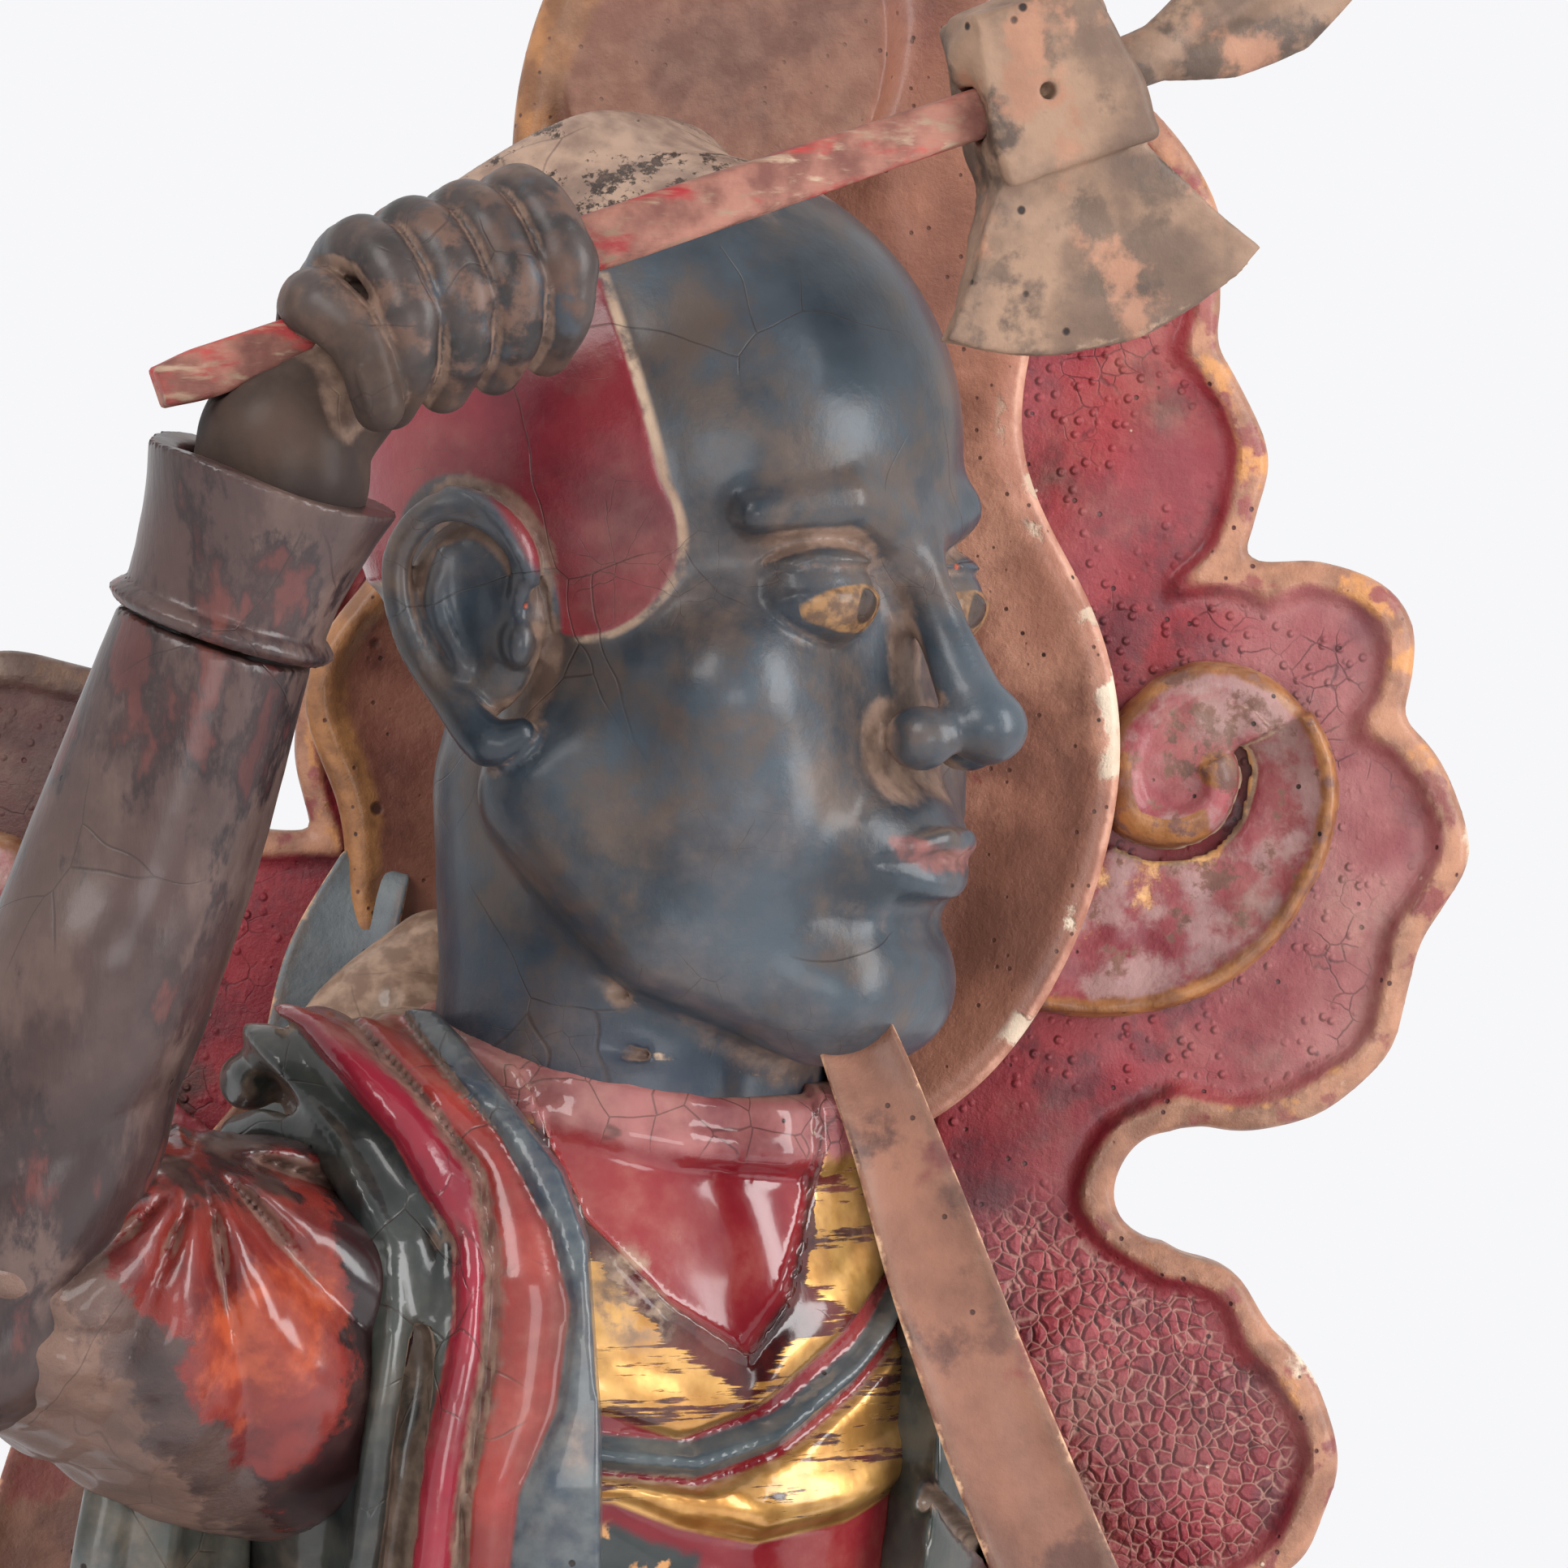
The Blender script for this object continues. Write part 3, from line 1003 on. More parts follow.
def model_chest():
    clay = Clay((-62, -58, 462), (54, 42, 592), 0.8)
    clay.add(column(CHEST_ROWS))
    collar = [
        (
            math.cos(a) * 31 - 2.5, math.sin(a) * 28 - 8, 573.5 + 7 * math.cos(a - 2.6)
        ) for a in np.linspace(0, 2 * math.pi, 25)
    ]
    clay.add(limb(collar, 3.4), 3)
    clay.add(limb([(x * 1.03, y * 1.03 - 0.5, z - 5) for x, y, z in collar], 3.2), 2.5)

    def dress(x, y, z):
        u, v = in_chest(x, y)
        front = smooth(-v, 0, 12)
        v_gap, band_gap = above(V_EDGE, u, z), above(BAND_END, u, z)
        low_gap, end_gap = above(LOW_BAND, u, z), above(LOW_END, u, z)
        upper = smooth(-v_gap, -0.5, 1.2) * smooth(band_gap, -0.4, 1.5)
        lower = smooth(-low_gap, -0.3, 1.8) * smooth(end_gap, -0.5, 3.0)
        lift = upper * (1.5 + 0.8 * np.sin(np.clip(band_gap / 9, 0, 1) * 3.1))
        lift = lift + 1.3 * ridge(v_gap + 1.0, 1.0) * smooth(555 - z, 0, 12)
        lift = lift + lower * (1.2 + 1.8 * np.sin(np.clip(end_gap / 10, 0, 1) * 3.1))
        lift = lift + 2.6 * ridge(above(CORD, u, z), 1.7)
        lift = lift - 0.7 * ridge(above(CORD, u, z) - 3.4, 0.7) - 0.8 * ridge(low_gap - 0.6, 0.8)
        lift = lift + 0.5 * ridge(end_gap + 8 + 0.2 * u, 2.5) + 0.6 * ridge(end_gap + 20 - 0.1 * u, 3)
        wobble = 0.35 * np.sin(u / 4.3 + z / 11) * np.sin(z / 6.1)
        return front * (lift + wobble)

    clay.swell(dress, (-62, -58, 462), (54, 42, 585))
    clay.cut(RELIC, 0.2)
    clay.cut(limb([(-4, -6, 421), (-4, -6, 475)], 12.3), 0.1)
    clay.cut(limb([(-3, -8, 549), (-3, -8, 700)], 9.3), 0.1)
    clay.cut(limb([(-3, -8, 569.5), (-3, -9, 585), (-2, -9, 600)], (30, 27.5, 27.5)), 0.5)
    p = Paint("undergarment_lacquer")
    p.coat((shade(106, 20, 30), shade(132, 32, 40)), rough=0.16, size=30)
    rub = p.noise(9, 8.0, stretch=(0.35, 0.35, 1.3), rough=0.6)
    streak = p.noise(2.0, 7.0, stretch=(0.14, 0.14, 2.2), rough=0.65)
    gilt = p.near_mark("gilt", -0.3, 0.7)
    p.coat(BOLE, gilt, rough=0.14, size=8)
    worn = p.step(
        p.sum("ADD", p.sum("ADD", rub, p.sum("MULTIPLY", streak, 0.75)), p.mark("rubbed")), 0.92, 0.98
    )
    leaf = p.all_of(gilt, p.sum("SUBTRACT", 1.0, worn))
    p.coat(GOLD, leaf, rough=0.30, height=0.05, size=7)
    p.coat((shade(50, 60, 66), shade(78, 84, 84)), p.near_mark("cord", 0.1, 0.9), rough=0.4, size=10)
    p.coat((shade(24, 30, 33), shade(46, 52, 50)), p.near_mark("teal", -1, 1, 2.0), rough=0.35)
    p.coat(OCHRE, p.all_of(p.near_mark("teal", -1, 1, 2.0), p.step(p.noise(9, 7.0), 0.56, 0.60)), rough=0.5)
    collar = p.near_mark("collar", -1.5, 1.5, 3.0)
    p.coat((shade(116, 56, 60), shade(150, 92, 90)), collar, rough=0.55, size=9)
    p.coat(DUST, p.all_of(p.near_mark("patch", 0, 4, 6.0), p.step(p.noise(6, 6.0), 0.36, 0.55)), rough=0.9)
    p.craquelure(9, 0.02, mask=p.sum("MAXIMUM", collar, p.step(p.noise(20, 4.0), 0.62, 0.7)), depth=-0.08)
    metal = p.sum("MULTIPLY", leaf, 0.75)
    p.dust(0.75, low=0.42, high=0.7)
    p.pits(7, 0.45, share=0.3)

    def on_front(f):
        return lambda x, y, z: f(*in_chest(x, y), z)

    def gilt_mark(u, v, z):
        upper = np.minimum(-above(V_EDGE, u, z) - 0.3, above(BAND_END, u, z))
        lower = np.minimum(-above(LOW_BAND, u, z), above(LOW_END, u, z))
        return np.minimum(np.maximum(upper, lower), -v - 2)

    marks = {
        "gilt": on_front(gilt_mark),
        "rubbed": on_front(lambda u, v, z: 0.42 * ridge(above(V_EDGE, u, z) + 2.4, 3.6) * smooth(z, 500, 520)
                           + 0.16 * ridge(u - 3, 9) * ridge(above(BAND_END, u, z) - 7, 5)
                           + 0.12 * ridge(u - 36, 7) * ridge(above(LOW_END, u, z) - 6, 7)),
        "cord": on_front(lambda u, v, z: 3.2 - abs(above(CORD, u, z) - 0.4) - 9 * (v > -2)),
        "teal": on_front(lambda u, v, z: np.minimum(-above(LOW_END, u, z) - 3, -u - 6 - 0.25 * (505 - z))),
        "collar": lambda x, y, z: z - 567.5 - 7 * np.cos(np.arctan2(y + 8, x + 2.5) - 2.6),
        "patch": on_front(lambda u, v, z: 7 - np.hypot(u + 17, (z - 541) * 0.8)),
    }
    paint = p.done(coat=0.55, coat_rough=0.08, metal=metal, grain=0.02)
    carving("chest_carving", clay, "figure", ["chest_block"], paint, marks)


# ---------- coat ----------

LAPEL = (
    (455, -4), (480, -6), (500, -7), (523, -7), (550, -9), (560, -13), (570, -21), (580, -30), (592, -40)
)
HALO_CIRCLES = ((6, 628, 64), (20, 735, 34), (26, 780, 5.5))


def lapel_gap(x, z):
    """How far a point lies outside the right lapel's front edge."""
    slant = np.interp(z, (455, 548, 560, 592), (1.0, 1.0, 0.8, 0.66))
    return (np.interp(z, *zip(*LAPEL)) - x) * slant


# Where the lapel's layers meet, from its front edge outwards, as x at each height
LAYERS = (
    ((455, -6), (500, -7), (526, -7), (545, -6.5), (550, -9), (560, -13), (570, -21), (580, -30), (592, -40)),
    (
        (455, -20), (502, -19), (514, -17.5), (526, -12), (541, -10), (552, -13), (565, -20.5), (575, -29.5),
        (587, -41)
    ),
    (
        (455, -28), (500, -27), (513, -26), (533, -22.5), (547, -22), (560, -24), (571, -32.5), (580, -42),
        (590, -55)
    ),
    (
        (455, -34), (502, -33), (520, -31), (530, -28.5), (540, -26.5), (550, -27), (565, -36), (581, -51),
        (590, -72)
    ),
)


def lapel_layer(x, z):
    """Which layer of the lapel a point lies in: 0 at the front edge, 3 at the outer edge."""
    lines = [np.interp(z, *zip(*line)) for line in LAYERS]
    place = (lines[0] - x) / 10
    for i in range(3):
        step = (lines[i] - x) / np.maximum(lines[i] - lines[i + 1], 1)
        place = np.where(x < lines[i], i + np.minimum(step, 1), place)
    return np.where(x < lines[3], 3 + (lines[3] - x) / 10, place)


def coat_paint():
    p = Paint("coat_lacquer")
    p.coat((shade(26, 30, 30), shade(50, 54, 50)), rough=0.28, size=16)
    p.coat((shade(46, 50, 50), shade(66, 68, 64)), p.step(p.noise(22, 7.0), 0.58, 0.68), rough=0.35)
    red = p.near_mark("red_band", -0.4, 0.5, 1.0)
    p.coat((shade(112, 32, 30), shade(140, 50, 44)), red, rough=0.26, size=14)
    p.coat(
        (shade(104, 22, 36), shade(126, 32, 46)), p.all_of(red, p.near_mark("outer_red", -0.4, 0.4)),
        rough=0.14
    )
    p.coat((shade(88, 56, 50), shade(122, 84, 74)), p.near_mark("groove", -0.6, 0.6, 2.4), rough=0.8, size=5)
    p.coat(
        (shade(44, 54, 64), shade(78, 84, 86)), p.near_mark("blue_edge", -0.4, 0.4, 0.8), rough=0.35, size=6
    )
    p.coat(
        (shade(118, 92, 76), shade(158, 130, 110)), p.near_mark("gesso", -2, 3, 9.0, 7.0), rough=0.9,
        height=-0.1, size=4
    )
    p.craquelure(13, 0.02, mask=p.step(p.noise(26, 4.0), 0.5, 0.62), depth=-0.1)
    p.dust(0.8, (shade(96, 78, 66), shade(134, 112, 96)), low=0.30, high=0.56)
    p.wear((shade(120, 96, 82), shade(164, 138, 118)), 0.84, 1.0, 0.75)
    p.pits(8, 0.6, share=0.3)
    return p.done(coat=0.4, coat_rough=0.1)


def model_coat():
    paint = coat_paint()
    for side, name in ((-1, "coat_right"), (1, "coat_left")):
        clay = Clay((-72 if side < 0 else -30, -66, 462), (30 if side < 0 else 62, 47, 606), 0.9)
        clay.add(column(COAT_ROWS))
        if side < 0:
            clay.add(
                limb(curve([(-44, 8, 566), (-50, -16, 574), (-44, -32, 574), (-33, -43, 566)], 5), 7.5), 6
            )
            clay.add(limb(curve([(-54, 14, 564), (-46, 20, 578), (-34, 26, 588)], 5), 9), 9)
            rolls = (
                (
                    [
                        (-60, -20, 572), (-54, -35, 578), (-43, -45, 571), (-33.5, -52, 555), (-30, -56, 535),
                        (-31, -57, 512), (-36, -55, 488)
                    ],
                    4.6
                ),
                (
                    [
                        (-60, -32, 564), (-51, -43, 566), (-42, -52, 556), (-37, -57, 538), (-37, -58, 515),
                        (-42, -55, 492)
                    ],
                    3.6
                ),
            )
            for line, radius in rolls:
                clay.add(limb(curve(line, 6), radius), 3.2)
            clay.cut(
                limb(
                    curve(
                        [
                            (-56, -30, 571), (-46, -44, 565), (-37, -53, 550), (-33.6, -57, 530),
                            (-34, -58, 508), (-38, -56, 486)
                        ],
                        6
                    ),
                    1.5
                ),
                1.6
            )
        clay.cut(column([(z, x, y, a - 0.2, b - 0.2, t) for z, x, y, a, b, t in CHEST_ROWS]), 0.3)
        clay.cut(limb([(-3, -8, 569.5), (-3, -9, 585), (-2, -9, 610)], (32, 29.5, 30)), 0.8)
        if side < 0:
            clay.keep((None, None, lambda x, y, z: np.where(y < 4, -lapel_gap(x, z) + 0.5, x + 12) + 0 * y))

            def layers(x, y, z):
                """The blue edge, the inner red band and the rounded outer red band, with grooves between."""
                place = lapel_layer(x, z)
                front = smooth(-y, 16, 30)
                inner = np.sin(np.pi * np.clip(place - 1, 0, 1))
                outer = np.sqrt(np.clip(np.sin(np.pi * np.clip(place - 2, 0, 1)), 0, 1))
                lift = 1.6 * smooth(1 - place, -0.1, 0.4) + 1.1 * inner + 2.6 * outer
                lift = lift - 1.0 * ridge(place - 2, 0.12) - 0.5 * ridge(place - 1.1, 0.16)
                lift = (lift - 2.2 * ridge(place - 3.3, 0.28) + 1.0 * ridge(place - 3.9, 0.16)
                        - 1.6 * ridge(place - 4.4, 0.3))
                return front * lift * smooth(600 - z, 8, 22)

            clay.swell(layers)
        else:
            def left_open(x, y, z):
                u, v = in_chest(x, y)
                edge = np.interp(z, (462, 510, 540, 560, 584), (24, 30, 33, 31, 24))
                return np.where(v < 0, edge - u, -u - 4)

            clay.keep((None, None, left_open))
            clay.keep(
                (
                    None, None, lambda x, y,
                    z: x - np.interp(z, (530, 560, 584), (60, 38, 30)) - 0.25 * np.maximum(-y, 0)
                )
            )
            for z0 in (480, 505, 530):
                clay.cut(limb(curve([(34, -36, z0 + 16), (46, -20, z0), (53, 6, z0 - 8)], 5), 1.4), 2.4)
        # the back is flat against the screen, with folds that fall from the shoulders
        for x in (-38, -22, -6, 12, 28):
            clay.cut(limb(curve([(x * 0.75, 41, 566), (x, 47, 525), (x * 1.1, 44, 468)], 5), 1.2), 2.5)
        clay.keep(side_of((0, 45.7, 0), (0, 1, 0)))
        clay.cut(
            board_of(
                lobes(HALO_CIRCLES, 0.1), lambda x, z, i: 30.8 + 0 * x, 48, (-62, 28, 560), (74, 48, 620)
            ),
            0.3
        )
        clay.cut(RELIC_WAY, 0.2)
        clay.cut(RELIC, 0.2)
        right = side < 0
        marks = {
            "red_band": lambda x, y, z: np.where(
                (y < -8) & right, np.minimum(lapel_layer(x, z) - 1, 3.05 - lapel_layer(x, z)) * 8, -9),
            "outer_red": lambda x, y, z: (lapel_layer(x, z) - 2) * 8,
            "groove": lambda x, y, z: np.where((y < -8) & right, 1.2 - abs(lapel_layer(x, z) - 1.98) * 7, -9),
            "blue_edge": lambda x, y, z: np.where((y < -8) & right, (1 - lapel_layer(x, z)) * 6, -9),
            "gesso": lambda x, y, z: np.where(
                right,
                np.maximum(np.minimum(z - 574, y + 22) - 2 * (x > -20) * 9,
                           1.0 - np.hypot(x + 9, (z - 521) / 2.4)), -30),
        }
        carving(name + "_carving", clay, "figure", [name], paint, marks)


# ---------- scarf ----------

TAIL_L = ((29, -37, 584, 6), (36, -45, 566, 7), (44.5, -51, 541, 8.4), (54, -53, 516, 9.2),
          (66, -50, 489, 9.6),
          (80, -38, 470, 9), (90, -34, 452, 9), (95, -36, 415, 9), (91, -38, 370, 9), (97, -34, 320, 9),
          (91, -36, 270, 8.5), (97, -38, 225, 7), (93, -40, 200, 4))
TAIL_R = ((-44, 36, 604, 6), (-50, 31, 588, 9), (-56, 28, 566, 9), (-70, 26, 548, 9),
          (-88, 18, 520, 9.5), (-97, 12, 484, 9.5),
          (-94, 8, 440, 9.5), (-101, 6, 395, 9.5), (-95, 2, 345, 9), (-100, 0, 295, 9),
          (-94, -4, 250, 8), (-99, -6, 215, 5))


def scarf_paint(name, reverse=0.0):
    p = Paint(name)
    p.coat((shade(92, 58, 45), shade(126, 84, 66)), rough=0.5, size=20)
    p.coat(
        (shade(72, 43, 35), shade(98, 62, 50)), p.step(p.noise(17, 8.0, rough=0.62), 0.5, 0.62), rough=0.42
    )
    p.coat((shade(90, 40, 38), shade(112, 54, 48)), p.step(p.noise(26, 7.0), 0.60, 0.66), rough=0.4)
    if reverse:
        p.coat(
            (shade(64, 72, 80), shade(104, 110, 112)), p.step(p.mark("along"), reverse, reverse * 0.8),
            rough=0.4
        )
    p.raise_by(0.25, p.noise(4.5, 7.0, rough=0.6))
    p.pits(4.5, 0.5, colour=shade(60, 34, 28), share=0.4, depth=-0.2)
    p.pits(12, 1.2, colour=shade(74, 40, 32), share=0.22, depth=-0.25)
    p.raise_by(0.3, p.noise(1.9, 6.0, rough=0.7))
    p.dust(0.5, (shade(92, 70, 58), shade(120, 95, 80)), low=0.34, high=0.66)
    p.wear((shade(172, 126, 98), shade(204, 164, 130)), 0.78, 0.94, 0.6)
    return p.done(coat=0.15, coat_rough=0.25, grain=0.05)


def model_scarf():
    banded("strap_carving", TAIL_L, 6.0, (0.15, -1, 0.1), "figure", ["scarf_tail_left"],
        scarf_paint("strap_lacquer"),
           0.5)
    banded("tail_carving", TAIL_R, 6.0, (0, -1, 0.15), "figure", ["scarf_tail_right"],
           scarf_paint("tail_lacquer", 0.2), 0.5)


def halo_edge(x, z):
    """The scarf's flame-shaped outline: a round, a tall lobe and a tip, with a ruffle down its right side."""
    flame = lobes(
        ((9, 628, 60), (12, 610, 55), (20, 700, 42), (20, 735, 33), (25, 766, 13), (26, 775, 4)), 26
    )(x, z)
    at = np.arctan2(z - 640, x - 10)
    ruffle = 2.6 * np.sin(at * 9 + 0.6) * smooth(-x, -4, 26) * smooth(z, 560, 600)
    return flame + ruffle + 0.8 * np.sin(z / 13) * smooth(x, 40, 60)


def model_halo():
    low, high = (-60, 29, 556), (76, 47, 787)
    clay = Clay(low, high, 1.1)

    def front(x, z, inset):
        left = smooth(12 - x, 0, 40)
        rim = (0.6 + 2.0 * left) * np.exp(-((inset - 3.2) / 2.8) ** 2)
        dish = 4.5 * smooth(inset, 3, 22)
        folds = 1.1 * np.sin(x / 7 + (z - 640) / 30) * smooth(inset, 6, 20) + 1.2 * ridge(
            x - 40 + (z - 700) * 0.2, 4
        ) * smooth(z, 690, 720)
        flare = 2.2 * np.sin(
            np.arctan2(z - 640, x - 10) * 9 + 0.6
        ) * smooth(12 - inset, 0, 12) * smooth(-x, -4, 26)
        return 33.6 - rim + dish - folds * 0.8 + flare * 0.5

    clay.add(board_of(halo_edge, front, 46, low, high, 1.6), 0.2)
    # the end that comes forward over the crown
    clay.add(
        limb(curve([(4, 44, 760), (2, 34, 738), (0, 22, 722), (1, 12, 714)], 5), np.linspace(15, 12.5, 16)), 9
    )
    clay.add(
        limb(
            curve([(30, 44, 756), (27, 34, 736), (23, 22, 718), (19, 12, 708)], 5), np.linspace(12, 9.5, 16)
        ),
        8
    )
    clay.add(limb(curve([(16, 44, 756), (14, 32, 736), (12, 18, 720)], 5), np.linspace(12, 9, 11)), 6)
    for x in (-10, -3, 6, 15, 24, 33):
        clay.cut(limb(curve([(x + 2, 30, 772), (x, 20, 748), (x - 1, 8, 724)], 5), 1.5), 3.0)
    clay.keep(side_of((0, 46, 0), (0, 1, 0)))
    p = Paint("halo_lacquer")
    p.coat((shade(112, 70, 56), shade(144, 94, 74)), rough=0.5, size=26)
    p.coat(
        (shade(158, 104, 84), shade(186, 134, 110)),
        p.step(p.sum("ADD", p.noise(20, 8.0, rough=0.6), p.mark("lit")), 0.62, 0.86), rough=0.55
    )
    p.coat(
        (shade(86, 48, 40), shade(112, 66, 54)),
        p.step(p.sum("ADD", p.noise(26, 8.0, rough=0.6), p.mark("dark")), 0.54, 0.72), rough=0.4
    )
    p.coat((shade(110, 30, 36), shade(130, 44, 44)), p.step(p.noise(16, 7.0), 0.66, 0.70), rough=0.35)
    p.coat((shade(118, 78, 50), shade(160, 110, 68)), p.near_mark("rim", -0.8, 1.0, 2.4), rough=0.45, size=7)
    p.coat((shade(150, 100, 82), shade(190, 142, 120)), p.near_mark("raw", 0.5, 1.4, 1.6), rough=0.6, size=7)
    p.coat(
        GESSO, p.all_of(p.near_mark("raw", -2.0, 0.0, 3.0, 6.0), p.step(p.noise(16, 7.0), 0.54, 0.58)),
        rough=0.85, height=-0.3
    )
    p.raise_by(0.3, p.noise(5, 7.0, rough=0.6))
    p.pits(4.2, 0.45, colour=shade(56, 32, 26), share=0.4, depth=-0.2)
    p.pits(14, 1.4, colour=shade(70, 38, 30), share=0.25, depth=-0.3)
    p.raise_by(0.35, p.noise(1.9, 6.0, rough=0.7))
    p.pits(2.6, 0.45, colour=shade(84, 48, 36), share=0.45, depth=-0.15)
    p.dust(0.45, (shade(104, 78, 66), shade(132, 104, 88)), low=0.34, high=0.68)
    p.wear((shade(186, 138, 104), shade(212, 176, 140)), 0.90, 1.04, 0.6)
    marks = {
        "lit": lambda x, y, z: 0.30 * smooth(x, 30, 56) * smooth(z, 570, 640) * smooth(735 - z, 0, 40),
        "rim": lambda x, y, z: 6.5 + halo_edge(x, z) - 9 * (y > 44) - 12 * smooth(x, -6, 24),
        "raw": lambda x, y, z: 2.2 + halo_edge(x, z) - 6 * smooth(30 - x, 0, 12) - 6 * (y > 40),
        "dark": lambda x, y, z: (
            0.16 * ridge(x - 6, 18) * smooth(34 - y, 0, 10) + 0.22 * smooth(z, 715, 755)
            + 0.10 * smooth(-x, 10, 40) - 0.08 * smooth(x, 30, 60)),
    }
    paint = p.done(coat=0.18, coat_rough=0.2, grain=0.05)
    carving("halo_carving", clay, "figure", ["scarf_halo"], paint, marks)


# ---------- cloud screen ----------

LOBES_LEFT = ((56, 700, 36), (72, 668, 27), (90, 634, 20), (107, 637, 16), (101, 622, 18),
              (70, 520, 24), (110, 608, 21.5), (94, 589, 29), (84, 528, 14),
              (84, 508, 26), (70, 470, 28), (78, 436, 20), (58, 412, 26), (50, 352, 30), (72, 330, 16),
              (48, 296, 30), (54, 236, 26), (62, 184, 30), (58, 128, 30))
LOBES_RIGHT = ((-104, 604, 34), (-112, 545, 30), (-80, 500, 22), (-60, 468, 25), (-66, 436, 22),
               (-52, 400, 26),
               (-60, 352, 20), (-46, 318, 30), (-70, 296, 16), (-48, 256, 28), (-58, 206, 28), (-62, 150, 28))
BOARD_Y = 46


def slot_box(x0, x1, z0, z1):
    """A flat box in X and Z."""
    def far(x, z):
        return np.maximum(abs(x - (x0 + x1) / 2) - (x1 - x0) / 2, abs(z - (z0 + z1) / 2) - (z1 - z0) / 2)
    return far


def cloud_edge(x, z):
    """The screen's outline."""
    out = lobes(LOBES_LEFT + LOBES_RIGHT, 3.5)(x, z)
    for piece in (
        slot_box(-60, 60, 104, 584), slot_box(-45, 45, 88, 108), slot_box(-100, 86, 520, 610),
        slot_box(40, 88, 560, 690)
    ):
        out = soft_least(out, piece(x, z), 3.0)
    out = soft_least(out, lobes(HALO_CIRCLES, 20)(x, z) - 1, 1.0)
    along = np.clip((x - 82) / 40, 0, 1)
    notch = np.hypot(x - 82 - 40 * along, z - 551.5 + 6.5 * along) - 8.0 - 7.5 * along
    out = -soft_least(-out, notch, 3.0)
    return out + 0.7 * np.sin(x / 4.3 + z / 6.1) * np.sin(z / 5.2 - x / 9.7) + 0.3


def cloud_front(x, z, inset):
    """The front of the screen: a chamfered rim round a sunk field."""
    rim = 2.6 * (1 - smooth(inset, 3.8, 6.4)) - 1.5 * np.clip(1 - inset / 4.2, 0, 1)
    swell = 0.7 * np.sin(x / 13 + z / 21) * np.sin(z / 17) + 0.3 * np.sin(x / 5.3 - z / 7.1)
    return BOARD_Y + 2.9 - rim - (0.4 + swell) * smooth(inset, 6, 14)


def cloud_paint():
    p = Paint("cloud_board_lacquer")
    p.coat((shade(118, 30, 40), shade(148, 50, 56)), rough=0.36, size=22)
    p.coat(
        (shade(84, 26, 34), shade(104, 34, 42)), p.step(p.noise(17, 8.0, rough=0.62), 0.50, 0.64), rough=0.34
    )
    mauve = p.sum("ADD", p.mark("outer"), p.sum("MULTIPLY", p.noise(22, 7.0), 0.9))
    p.coat(
        (shade(128, 78, 80), shade(154, 106, 102)), p.sum("MULTIPLY", p.step(mauve, 0.50, 0.98), 0.75),
        rough=0.55, size=9
    )
    field = p.near_mark("field", 0, 2)
    low_down = p.step(p.sum("ADD", p.mark("crazed"), p.noise(30, 4.0)), 0.72, 1.0)
    cells = p.cells(2.5, "DISTANCE_TO_EDGE", wobble=0.8)
    p.raise_by(0.5, p.all_of(field, low_down, p.step(cells, 0.0, 0.3)))
    p.craquelure(
        2.5, 0.10, mask=p.all_of(field, low_down), depth=-0.15, colour=shade(176, 134, 118), wobble=0.8
    )
    p.craquelure(
        4.5, 0.05, mask=p.all_of(field, p.step(p.noise(26, 3.0), 0.52, 0.62)), depth=-0.12,
        colour=shade(60, 20, 26), wobble=0.8
    )
    p.raise_by(0.45, p.noise(3.2, 8.0, rough=0.65))
    p.raise_by(0.6, p.all_of(field, p.step(p.cells(2.6), 0.34, 0.12), p.step(p.noise(22, 3.0), 0.40, 0.52)))
    p.raise_by(0.3, p.noise(1.7, 6.0, rough=0.7))
    rim = p.near_mark("rim", -0.7, 0.7, 2.2, 6.0)
    p.coat((shade(128, 88, 70), shade(166, 118, 92)), rim, rough=0.5, size=8)
    p.coat(
        (shade(164, 108, 62), shade(184, 128, 78)), p.all_of(rim, p.step(p.noise(11, 7.0), 0.57, 0.64)),
        rough=0.42
    )
    p.coat(
        (shade(112, 54, 52), shade(138, 76, 70)), p.all_of(rim, p.step(p.noise(7, 8.0), 0.55, 0.63)),
        rough=0.45
    )
    p.coat(
        GESSO, p.all_of(p.near_mark("rim", 1.6, 2.6, 2.4, 5.0), p.step(p.noise(24, 7.0), 0.60, 0.64)),
        rough=0.85, height=-0.3
    )
    sooty = p.sum("ADD", p.mark("sooty"), p.noise(18, 8.0, rough=0.6))
    p.coat(
        (shade(50, 38, 36), shade(84, 66, 60)), p.sum("MULTIPLY", p.step(sooty, 0.80, 0.96), 0.85), rough=0.4
    )
    p.pits(3.6, 0.5, share=0.5, depth=-0.3, colour=shade(72, 26, 30))
    p.pits(9, 0.9, colour=shade(34, 24, 28), share=0.3, depth=0.5)
    p.pits(7, 0.45, colour=shade(206, 180, 160), share=0.35, depth=0.2)
    p.dust(1.0, low=0.32, high=0.62)
    p.wear((shade(196, 148, 104), shade(220, 180, 140)), 0.90, 1.04, 0.6)
    return p.done(coat=0.2, coat_rough=0.22, grain=0.07)


